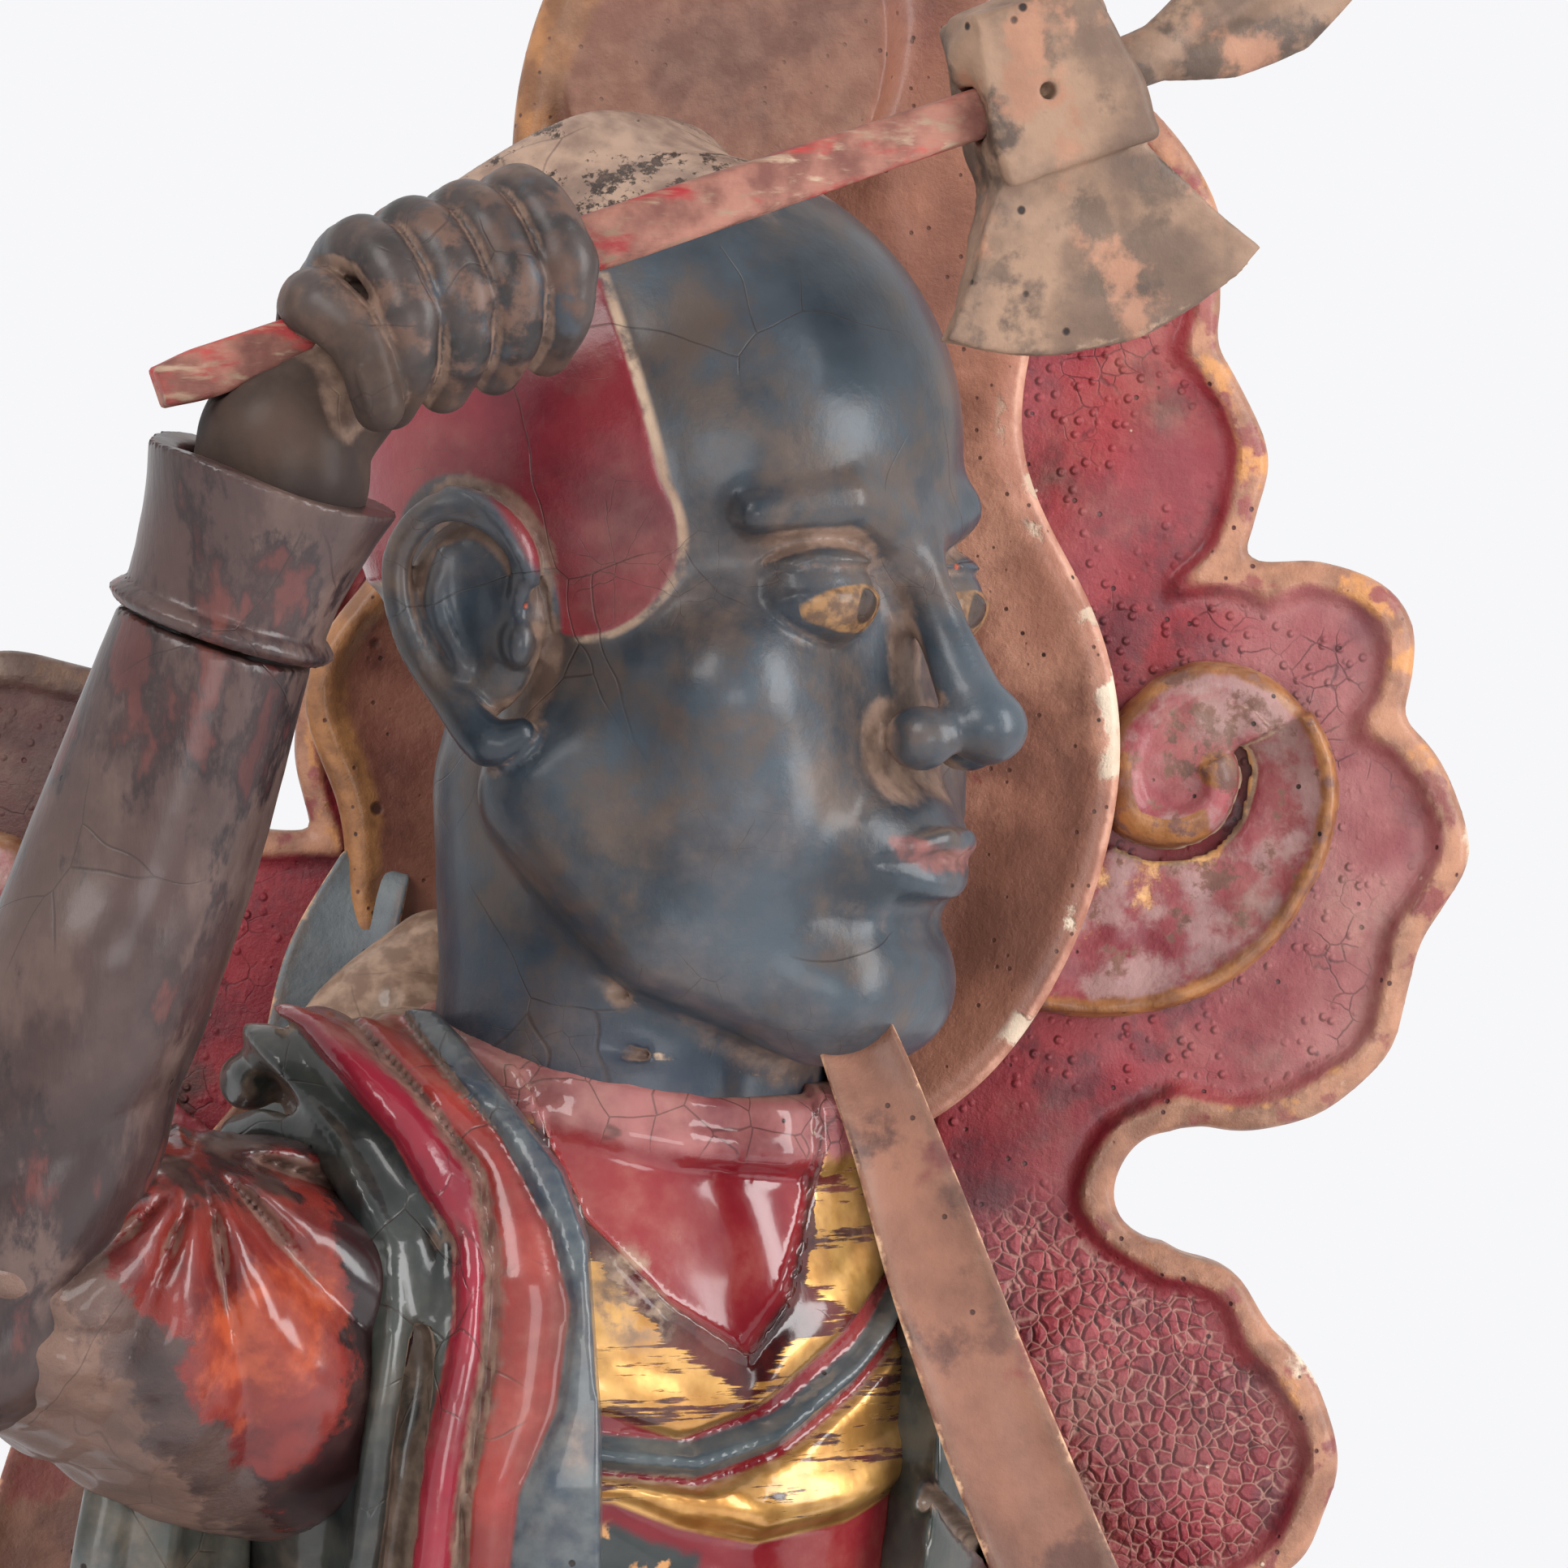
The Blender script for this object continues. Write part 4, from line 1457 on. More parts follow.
def model_screen():
    paint = cloud_paint()
    spans = {
        "cloud_board_right": (-143, -45.05), "cloud_board_middle": (-45, 45), "cloud_board_left": (45.05, 133)
    }
    for name, (left, right) in spans.items():
        bottom, top = (66, 790) if name == "cloud_board_middle" else (88, 742)
        low, high = (left - 1, 43, bottom), (right + 1, 62, top)
        clay = Clay(low, high, 1.4 if name == "cloud_board_middle" else 1.15)
        clay.add(board_of(cloud_edge, cloud_front, BOARD_Y + 13.9, low, high), 0.2)
        clay.cut(RELIC_WAY, 0.2)
        clay.cut(COVER_PLACE, 0.2)
        if name == "cloud_board_middle":
            clay.add(brick((0, 53, 84), (28, 6, 16), corner=0.5), 0.3)
        clay.keep(side_of((left + 0.05, 0, 0), (-1, 0, 0)))
        clay.keep(side_of((right - 0.05, 0, 0), (1, 0, 0)))
        marks = {
            "rim": lambda x, y, z: 4.4 + cloud_edge(x, z) - 20 * (y > BOARD_Y + 11),
            "field": lambda x, y, z: -cloud_edge(x, z) - 6,
            "outer": lambda x, y, z: 0.42 * smooth(x - 5, 62, 118),
            "sooty": lambda x, y, z: 0.55 * smooth(-x, 62, 84),
            "crazed": lambda x, y, z: 0.55 * smooth(566 - z, 0, 26),
        }
        carving(name + "_carving", clay, "figure", [name], paint, marks)


# The volute's crest as it winds out from the middle: degrees turned and radius
CREST = ((0, 7), (60, 8), (120, 12), (170, 16), (220, 15), (260, 15), (310, 18), (360, 20.5), (410, 24),
         (435, 26.5), (460, 32), (495, 41), (525, 50))
CREST_HEIGHT = ((0, 10.5), (200, 9.5), (300, 8.0), (400, 7.2), (470, 5.6), (525, 3.6))


def in_volute(at, hand, x, z):
    """Radius, and for the inner and outer winding at this angle: degrees turned and the crest's radius."""
    dx, dz = hand * (x - at[0]), z - at[1]
    r = np.hypot(dx, dz)
    inner = (27 - np.degrees(np.arctan2(dz, dx))) % 360
    outer = inner + 360
    r_in = np.interp(inner, *zip(*CREST))
    r_out = np.where(outer <= 525, np.interp(outer, *zip(*CREST)), r_in)
    return r, inner, r_in, np.minimum(outer, 525), r_out


def volute_rise(at, hand, x, z):
    """How far the volute stands off the screen."""
    r, inner, r_in, outer, r_out = in_volute(at, hand, x, z)
    h_in, h_out = (np.interp(w, *zip(*CREST_HEIGHT)) for w in (inner, outer))
    tube = h_in * np.sqrt(np.clip(1 - ((r_in - r - 4.2) / 5.6) ** 2, 0.12, 1))
    centre = 8.2 + 1.2 * ridge(np.hypot(hand * (x - at[0]) - 3.2, z - at[1]), 2.6)
    button = np.where(r_in - r > 6.5, np.maximum(tube, centre), tube)
    t = np.clip((r - r_in) / np.maximum(r_out - r_in, 1e-3), 0, 1)
    face = 2.8 + (h_out - 2.8) * t**1.4 + 1.1 * ridge(r - r_out + 1.3, 1.5) - 1.6 * ridge(r - r_in - 1.2, 1.4)
    wall_in, wall_out = smooth(r - r_in, 0.8, -0.6), smooth(r_out - r, -1.6, 0.2)
    swell = 0.35 * np.sin(x / 2.3 + z / 3.1) * np.sin(z / 2.7 - x / 5)
    return np.maximum(
        button * wall_in, np.where(r_out > r_in + 0.5, face, 0) * wall_out * (1 - wall_in)
    ) + swell * wall_out


def model_scroll(name, at, hand):
    reach = 50
    low, high = (at[0] - reach, 32, at[1] - reach), (at[0] + reach, 48, at[1] + reach)
    clay = Clay(low, high, 0.8)

    def relief(x, y, z):
        rise = volute_rise(at, hand, x, z)
        return np.maximum((BOARD_Y + 1.4 - rise - y) * 0.75, 1.2 - rise) + 0 * y

    clay.add((np.array(low, float), np.array(high, float), relief), 0.2)
    clay.keep(side_of((0, BOARD_Y - 0.1, 0), (0, 1, 0)))
    clay.cut(board_of(lobes(HALO_CIRCLES, 0.1), lambda x, z, i: 30.8 + 0 * x, 48, low, high), 0.3)
    clay.keep((None, None, lambda x, y, z: cloud_edge(x, z) + 1.0 + 0 * y))

    def crest(x, y, z):
        """How near a point lies to the inside of the crest."""
        r, inner, r_in, _, r_out = in_volute(at, hand, x, z)
        lip = np.minimum(2.7 - (r_out - r), 3.2 - (r - r_out))
        low_side = (smooth(inner, 70, 120) * smooth(240 - inner, 0, 30) * smooth(r_in - r, 7, 4)
                    * smooth(r_in - r, -0.6, 0))
        button = 3.2 - np.hypot(hand * (x - at[0]) - 3.5, z - at[1])
        return np.maximum(np.maximum(lip * 0.8, 6 * low_side - 4), button)

    p = Paint(name + "_lacquer")
    p.coat((shade(118, 42, 50), shade(146, 76, 78)), rough=0.4, size=12)
    p.coat(
        (shade(128, 92, 90), shade(160, 124, 120)), p.step(p.noise(9, 8.0, rough=0.6), 0.44, 0.60), rough=0.6
    )
    p.coat(
        (shade(112, 68, 42), shade(156, 104, 60)), p.near_mark("crest", -0.3, 0.7, 1.8), rough=0.36, size=7
    )
    p.coat(
        (shade(92, 60, 54), shade(122, 84, 72)), p.step(p.noise(6, 8.0, rough=0.65), 0.54, 0.62), rough=0.6
    )
    p.raise_by(0.4, p.noise(2.6, 7.0, rough=0.6))
    p.pits(4, 0.5, share=0.4)
    p.dust(1.0, low=0.30, high=0.58)
    p.wear((shade(196, 142, 92), shade(220, 170, 116)), 0.88, 1.02, 0.5)
    paint = p.done(coat=0.2, coat_rough=0.2, grain=0.06)
    carving(name + "_carving", clay, "figure", [name], paint, {"crest": crest})


# ---------- left arm ----------


def model_left_arm():
    clay = Clay((4, -22, 440), (86, 46, 580), 1.0)
    rows = curve([(24, 4, 556), (32, 11, 540), (43, 16, 515), (54, 19, 489), (69, 20, 464)], 4)
    clay.add(limb(rows, np.interp(range(17), (0, 4, 8, 12, 16), (15, 19, 20, 19, 14))))
    for x, z in ((60, 476), (56, 490), (52, 503)):
        clay.cut(limb(curve([(x - 18, 0, z + 8), (x + 6, -4, z), (x + 20, 14, z + 2)], 5), 1.6), 3)
    clay.cut(column([(z, x, y, a - 0.4, b - 0.4, t) for z, x, y, a, b, t in COAT_ROWS]), 0.5)
    clay.cut(fluted(SKIRT_ROWS, 9, 0.025, 8.6), 0.5)
    clay.keep(side_of((0, 45.7, 0), (0, 1, 0)))
    carving("left_sleeve_carving", clay, "figure", ["upper_arm_left"],
        sleeve_paint("left_sleeve"),
            {"elbow": lambda x, y, z: smooth(-z, -480, -455), "scorch": lambda x, y, z: 0 * x})

    clay = Clay((36, -42, 424), (88, 48, 490), 0.9)
    clay.add(limb([(67, 27, 468), (64, 8, 460), (60, -14, 452), (56, -34, 444)], (14.5, 15.5, 14.6, 13.2)))
    clay.cut(column(BELT_ROWS), 0.4)
    clay.cut(fluted(SKIRT_ROWS, 9, 0.025, 8.8), 0.4)
    clay.keep(side_of(CUFF_L[0] + 0.2 * CUFF_L_WAY, CUFF_L_WAY))
    paint = forearm_paint("left_forearm")
    carving("left_forearm_carving", clay, "figure", ["forearm_left"], paint)

    clay = Clay((30, -56, 418), (78, -28, 464), 0.7)
    clay.add(limb([CUFF_L[0], CUFF_L[0] + 3 * CUFF_L_WAY], 14.6), 0.5)
    clay.add(limb([CUFF_L[0] + 5 * CUFF_L_WAY, CUFF_L[1]], (13.8, 16.6)), 1.2)
    clay.keep(side_of(CUFF_L[0], -CUFF_L_WAY))
    clay.keep(side_of(CUFF_L[1], CUFF_L_WAY))
    clay.cut(column(BELT_ROWS), 0.4)
    clay.cut(fluted(SKIRT_ROWS, 9, 0.025, 8.8), 0.4)
    carving("left_cuff_carving", clay, "figure", ["cuff_left"], paint)

    hand = np.array((49, -63, 437.0))
    clay = Clay(hand - (22, 26, 24), hand + (22, 20, 28), 0.6)
    clay.add(blob(hand + (3, 2, 0), (12.5, 11, 16)))
    clay.add(limb([hand + (4, 8, 3), hand + (3.6, 15, 4)], 12), 4)
    for i in range(4):
        z = 12 - 7.9 * i
        line = curve(
            [
                hand + (11, 1, z), hand + (9, -8, z), hand + (0, -13, z - 0.6), hand + (-9, -11, z - 0.8),
                hand + (-10, -4, z)
            ],
            4
        )
        clay.add(limb(line, np.interp(range(17), (0, 5, 11, 16), (4.4, 4.9, 4.7, 4.0))), 0.7)
    clay.add(
        limb(
            curve([hand + (6, 4, 15), hand + (-2, -6, 17), hand + (-8, -13, 12)], 5),
            np.linspace(5.4, 3.9, 11)
        ),
        1.6
    )
    clay.cut(column(BELT_ROWS), 0.4)
    clay.cut(fluted(SKIRT_ROWS, 9, 0.025, 8.8), 0.4)
    clay.keep(side_of(CUFF_L[1] + 0.1 * CUFF_L_WAY, -CUFF_L_WAY))
    carving("left_fist_carving", clay, "figure", ["hand_left"], hand_paint("left_hand"),
            {"wrist": lambda x, y, z: y + 52})


# ---------- hanging sleeves ----------


def fall_form(rows, facing):
    """A flat sack of cloth along rows of x, y, z, half width and half thickness."""
    fine = curve(rows, 5)
    way = np.gradient(fine[:, :3], axis=0)
    way /= np.linalg.norm(way, axis=1)[:, None]
    side = np.cross(way, np.array(facing, float))
    side /= np.linalg.norm(side, axis=1)[:, None]
    parts = []
    for share in np.linspace(-0.86, 0.86, 7):
        centre = fine[:, :3] + side * (fine[:, 3:4] * share)
        parts.append(limb(centre, fine[:, 4] * (0.92 - 0.25 * share * share)))
    return parts


def model_falls():
    specs = (
        ("right", [(-60, -34, 528, 28, 7), (-64, -32, 500, 31, 6), (-68, -27, 465, 29, 5),
        (-70, -20, 430, 23, 5), (-69, -14, 406, 13, 4)],
         (0.8, -0.6, 0.2), (-110, -66, 398), (-24, 12, 540)),
        ("left", [(72, 12, 462, 22, 7), (76, 12, 436, 26, 6), (80, 12, 400, 25, 5),
        (81, 12, 364, 18, 5), (79, 12, 340, 10, 4)],
         (1, 0, 0.2), (52, -24, 330), (100, 46, 474)),
    )
    for side, rows, facing, low, high in specs:
        clay = Clay(low, high, 1.0)
        for part in fall_form(rows, facing):
            clay.add(part, 3.5)
        k = np.array(facing[:2]) / np.hypot(*facing[:2])

        def folds(x, y, z, k=k):
            across = -x * k[1] + y * k[0]
            return 0.9 * np.sin(across / 2.6 + (z - 440) / 38) + 0.5 * np.sin(across / 5 - z / 25)

        clay.swell(folds)
        if side == "right":
            clay.cut(limb([(-44, -22, 531), (-62, -43, 537), (-78, -61, 545)], 28), 0.5)
        clay.cut(column([(z, x, y, a + 0.1, b + 0.1, t) for z, x, y, a, b, t in COAT_ROWS]), 0.5)
        clay.cut(column(BELT_ROWS), 0.4)
        clay.cut(fluted(SKIRT_ROWS, 9, 0.025, 9.1), 0.4)
        clay.keep(side_of((0, 45.6, 0), (0, 1, 0)))
        tip = rows[-1][2]
        p = Paint(side + "_fall_lacquer")
        p.coat(TEAL, rough=0.3, size=20)
        p.coat((shade(40, 48, 52), shade(78, 88, 90)), p.step(p.noise(24, 7.0), 0.5, 0.66), rough=0.3)
        p.coat(OCHRE, p.near_mark("hem", -0.8, 0.8, 1.5), rough=0.45, size=9)
        p.coat(
            GOLD, p.all_of(p.near_mark("hem", -0.8, 0.8, 1.5), p.step(p.noise(7, 7.0), 0.5, 0.58)), rough=0.35
        )
        p.craquelure(12, 0.02, mask=p.step(p.noise(26, 4.0), 0.5, 0.62))
        p.dust(0.95, low=0.30, high=0.60)
        p.wear(DUST, 0.82, 1.02, 0.7)
        p.pits(8, 0.6, share=0.3)
        marks = {"hem": lambda x, y, z, t=tip: 15 + t - z}
        carving(
            "sleeve_fall_" + side + "_carving", clay, "figure", ["sleeve_fall_" + side], p.done(coat=0.3),
            marks
        )


# ---------- robe, belt and tails ----------

SKIRT_ROWS = curve([(112, 0, -12, 72, 50, 0), (170, 0, -12, 68, 48, 2), (260, -1, -10, 60, 43, 8),
                    (350, -2, -8, 51, 38, 16),
                    (446, -4, -6, 46, 35, 26)], 3)
BELT_ROWS = [(z, -4, -6, a, a - 11, 28) for z, a in ((446, 50), (450, 54), (458, 54), (462, 50))]
APRON = ((8, -48, 441, 15), (6, -53, 380, 17), (4, -57, 300, 20), (2, -62, 220, 22), (0, -67, 151, 24))
CUFF_L = np.array([(56, -34, 444), (53, -47, 440.0)])
CUFF_L_WAY = (CUFF_L[1] - CUFF_L[0]) / np.linalg.norm(CUFF_L[1] - CUFF_L[0])


def cloth_folds(deep, count, twist=0.0):
    """Folds that run down a skirt, sharp in the valleys and round on top."""
    def amount(x, y, z):
        u, v, a, b = oval_place(SKIRT_ROWS, x, y, z)
        t = np.arctan2(v / b, u / a) + twist * (z - 112) / 334
        fall = 1 - 0.55 * smooth(z, 250, 440)
        wave = abs(np.sin(t * count / 2 + 0.5 * np.sin(z / 47))) - 0.6
        small = abs(np.sin(t * count * 1.1 + 1.7 + 0.8 * np.sin(z / 31 + t))) - 0.6
        return fall * deep * (wave + 0.35 * small)
    return amount


def robe_paint(name, base, hem_colours=OCHRE):
    p = Paint(name)
    p.coat(base, rough=0.3, size=24)
    p.coat(
        tuple(tuple(c * 0.55 for c in s[:3]) + (1,) for s in base),
        p.step(p.noise(26, 8.0, rough=0.6), 0.5, 0.64), rough=0.26
    )
    hem = p.near_mark("hem", -0.6, 0.6, 1.2)
    p.coat(hem_colours, hem, rough=0.4, size=9)
    p.coat(BOLE, p.all_of(hem, p.step(p.noise(8, 8.0), 0.54, 0.60)), rough=0.25)
    p.craquelure(11, 0.02, mask=p.step(p.noise(30, 4.0), 0.5, 0.6))
    p.dust(1.0, low=0.30, high=0.62)
    p.wear(DUST, 0.80, 1.02, 0.75)
    p.pits(8, 0.6, share=0.3)
    return p.done(coat=0.3, coat_rough=0.15)


def model_skirts():
    clay = Clay((-78, -70, 110), (78, 46, 446.5), 1.5)
    clay.add(fluted(SKIRT_ROWS, 9, 0.025, -0.6))
    clay.swell(cloth_folds(2.2, 15))
    clay.keep(side_of((0, 45.7, 0), (0, 1, 0)))
    clay.keep(side_of((0, 0, 112.2), (0, 0, -1)))
    clay.cut(limb([(-4, -6, 421), (-4, -6, 475)], 12.3), 0.1)
    marks = {"hem": lambda x, y, z: 124 - z + 2.5 * np.sin(x / 7.5)}
    carving(
        "robe_carving", clay, "figure", ["under_robe"], robe_paint("robe_lacquer", CRIMSON),
        marks
    )

    for side in (-1, 1):
        name = "coat_tail_right" if side < 0 else "coat_tail_left"
        clay = Clay((-88 if side < 0 else -1, -80, 146), (1 if side < 0 else 88, 47, 446.5), 1.4)
        clay.add(fluted(SKIRT_ROWS, 9, 0.025, 6.8))
        clay.swell(cloth_folds(2.4, 11, 0.5))
        clay.cut(fluted(SKIRT_ROWS, 9, 0.025, 1.6), 0.2)

        def open_front(x, y, z):
            half = 36 - (z - 112) / 22 + 3 * np.sin(z / 26)
            inside = np.hypot((x - 4) / half, (y + 60) / 62) - 1
            return -inside * half

        clay.keep((None, None, open_front))
        clay.keep(side_of((0, 45.7, 0), (0, 1, 0)))
        clay.keep(side_of((side * 0.1, 0, 0), (-side, 0, 0)))
        low_edge = lambda x, y, z: 151 + 3.5 * np.sin(np.arctan2(y, x) * 7) - z
        clay.keep((None, None, low_edge))
        marks = {"hem": lambda x, y, z: np.maximum(165 + 3.5 * np.sin(np.arctan2(y, x) * 7) - z,
                                                   5.5 + open_front(x, y, z) * 1.0)}
        paint = robe_paint(name + "_lacquer", TEAL)
        carving(name + "_carving", clay, "figure", [name], paint, marks)


def model_apron():
    low, high = (-30, -80, 145), (30, -30, 447)
    clay = Clay(low, high, 1.1)
    rows = curve(APRON, 5)
    z_up, half, mid = rows[::-1, 2], rows[::-1, 3], rows[::-1, :2]

    def front(x, y, z):
        cx, cy = np.interp(z, z_up, mid[:, 0]), np.interp(z, z_up, mid[:, 1])
        w = np.interp(z, z_up, half)
        s = (x - cx) / w
        face = cy - 4.6 * np.sqrt(np.clip(1 - s * s, 0, 1)) ** 0.5
        pleat = 1.0 * abs(np.sin(s * 5.2)) * smooth(z, 150, 300) + 0.9 * ridge(abs(s) - 0.84, 0.07)
        body = np.maximum(np.maximum(face - pleat - y, y - cy - 5), abs(x - cx) - w)
        point = 156 - 8 * np.cos(np.clip(s, -1, 1) * 3.14) - z
        return np.maximum(body * 0.85, point)

    clay.add((np.array(low, float), np.array(high, float), front), 0.3)
    clay.cut(fluted(SKIRT_ROWS, 9, 0.025, 0.3), 0.3)
    marks = {
        "panel": lambda x, y, z: 0.72 * np.interp(z, z_up, half) - abs(x - np.interp(z, z_up, mid[:, 0])),
        "motif": lambda x, y, z: 0.5 * np.sin(z / 9.0) + 0.5 * np.cos(
            (x - np.interp(z, z_up, mid[:, 0])) / 5.2
        ),
        "hem": lambda x, y, z: 166 - 8 * np.cos(np.clip(x / 24, -1, 1) * 3.14) - z,
    }
    p = Paint("apron_lacquer")
    p.coat(BOLE, rough=0.18, size=14)
    leaf = p.step(p.noise(14, 8.0, stretch=(1, 1, 0.5), rough=0.65), 0.40, 0.46)
    p.coat(GOLD, leaf, rough=0.32, height=0.05, size=8)
    panel = p.near_mark("panel", -0.6, 0.6)
    p.coat((shade(112, 26, 34), shade(140, 40, 46)), panel, rough=0.24)
    cloud = p.all_of(panel, p.near_mark("motif", 0.52, 0.60, 0.10, 4.0), p.step(p.noise(10, 8.0), 0.34, 0.44))
    p.coat(GOLD, cloud, rough=0.34, height=0.2, size=6)
    p.coat(OCHRE, p.near_mark("hem", -0.6, 0.6, 1.0), rough=0.42)
    p.dust(0.9, low=0.32, high=0.64)
    p.wear(DUST, 0.84, 1.02, 0.7)
    p.pits(8, 0.6, share=0.3)
    metal = p.sum("MULTIPLY", p.all_of(leaf, p.sum("SUBTRACT", 1.0, panel)), 0.45)
    carving("apron_carving", clay, "figure", ["apron"], p.done(coat=0.4, metal=metal), marks)


def model_belt():
    clay = Clay((-62, -56, 445), (56, 46, 463), 0.8)
    clay.add(column([(z, x, y, a, b, t) for z, x, y, a, b, t in BELT_ROWS]))

    def beads(x, y, z):
        u, v, a, b = oval_place(BELT_ROWS, x, y, z)
        t = np.arctan2(v / b, u / a)
        stud = ridge(z - 454, 3.0) * np.clip(np.cos(t * 22), 0, 1) ** 0.6
        return 0.9 * stud + 0.7 * ridge(abs(z - 454) - 6.0, 1.2) - 0.8 * ridge(abs(z - 454) - 4.2, 0.8) - 0.5

    clay.swell(beads)
    clay.keep(side_of((0, 0, 462), (0, 0, 1)))
    clay.keep(side_of((0, 0, 446), (0, 0, -1)))
    clay.cut(limb([(-4, -6, 421), (-4, -6, 485)], 12.3), 0.1)
    p = Paint("belt_lacquer")
    p.coat(BOLE, rough=0.2, size=8)
    p.coat(GOLD, p.step(p.noise(8, 8.0, rough=0.65), 0.40, 0.47), rough=0.32, size=6)
    p.coat(GRIME, p.step(p.mark("hollow"), 0.5, 0.7), rough=0.7)
    p.dust(0.7, low=0.40, high=0.68)
    p.wear(OCHRE, 0.86, 1.02, 0.4)
    carving("belt_carving", clay, "figure", ["belt_block"], p.done(coat=0.4))

    clay = Clay((-2, -72, 398), (48, -30, 472), 0.8)
    clay.add(blob((17, -47, 456), (13, 9, 8.6), (0, 12, 8)))
    clay.add(limb(curve([(6, -46, 452), (14, -53, 458), (25, -51, 460), (30, -44, 455)], 5), 3.6), 1.6)
    clay.add(limb(curve([(15, -51, 462), (19, -55, 455), (18, -51, 447)], 5), 4.6), 1.0)
    for tail in (
        [(15, -50, 448), (17, -57, 430), (20, -59, 405)], [(20, -48, 448), (26, -54, 432), (31, -54, 414)]
    ):
        line = curve(tail, 6)
        for shift in (-3.0, 0, 3.0):
            clay.add(limb(line + (shift, abs(shift) * 0.3, 0), np.linspace(2.6, 3.1, len(line))), 1.1)
    clay.cut(column(BELT_ROWS), 0.3)
    clay.cut(fluted(SKIRT_ROWS, 9, 0.025, 9.1), 0.3)
    p = Paint("sash_lacquer")
    p.coat(CRIMSON, rough=0.26, size=12)
    p.coat(OCHRE, p.near_mark("hem", -0.5, 0.5, 1.0), rough=0.45)
    p.craquelure(9, 0.02, mask=p.step(p.noise(18, 4.0), 0.5, 0.6))
    p.dust(1.0, low=0.32, high=0.62)
    p.wear(DUST, 0.82, 1.02, 0.7)
    carving("sash_carving", clay, "figure", ["sash_knot"], p.done(coat=0.3),
            {"hem": lambda x, y, z: 412 + 0.5 * (x - 20) - z})


# ---------- boots, rock and plinth ----------

BOOTS = (("boot_right", (-36, -40), -16), ("boot_left", (38, -42), 14))
ROCK_TOP = 88


def model_boots():
    p = Paint("boot_lacquer")
    p.coat((shade(34, 40, 42), shade(64, 72, 72)), rough=0.3, size=14)
    p.coat((shade(70, 50, 44), shade(98, 76, 62)), p.step(p.noise(13, 8.0), 0.5, 0.62), rough=0.5)
    trim = p.near_mark("trim", -0.3, 0.4, 0.5)
    p.coat(OCHRE, trim, rough=0.4, height=0.15, size=6)
    p.coat(CRIMSON, p.near_mark("sole", -0.3, 0.4, 0.5), rough=0.35)
    p.craquelure(10, 0.02, mask=p.step(p.noise(18, 4.0), 0.5, 0.6))
    p.dust(1.0, low=0.28, high=0.58)
    p.wear(DUST, 0.80, 1.02, 0.7)
    paint = p.done(coat=0.3)
    for name, (bx, by), splay in BOOTS:
        clay = Clay((-22, -48, 0), (22, 32, 24.4), 0.8)
        clay.add(limb([(0, 12, 6), (0, 13, 40)], (15.5, 15)))
        clay.add(limb([(0, 14, 8), (0, -14, 6), (0, -27, 5)], (13.5, 13, 12)), 7)
        clay.add(limb([(0, -26, 6), (0, -38, 9.5), (0, -42, 13)], (10, 6, 3.2)), 5)
        clay.add(both(limb([(0, 14, 1), (0, -30, 1)], (17.2, 14.6)), side_of((0, 0, 3.6), (0, 0, 1))), 0.4)
        for y in (0, -6):
            clay.cut(limb(curve([(-15, y + 3, 9), (0, y - 4, 20), (15, y + 3, 9)], 5), 1.0), 2)
        clay.add(limb(curve([(0, -41, 12), (0, -26, 17.6), (0, -8, 20.6)], 5), 1.3), 1)
        clay.keep(side_of((0, 0, 0.05), (0, 0, -1)))
        clay.keep(side_of((0, 0, 23.9), (0, 0, 1)))
        clay.cut(limb([(0, 0, -10), (0, 0, 14)], 7.3), 0.1)
        spin = turn((0, 0, splay))
        marks = {"trim": lambda x, y, z: 1.5 - abs(z - 4.6), "sole": lambda x, y, z: 3.2 - z}
        carving(
            name + "_carving", clay, "figure", [name], paint, marks,
            (spin, (bx, by, ROCK_TOP))
        )


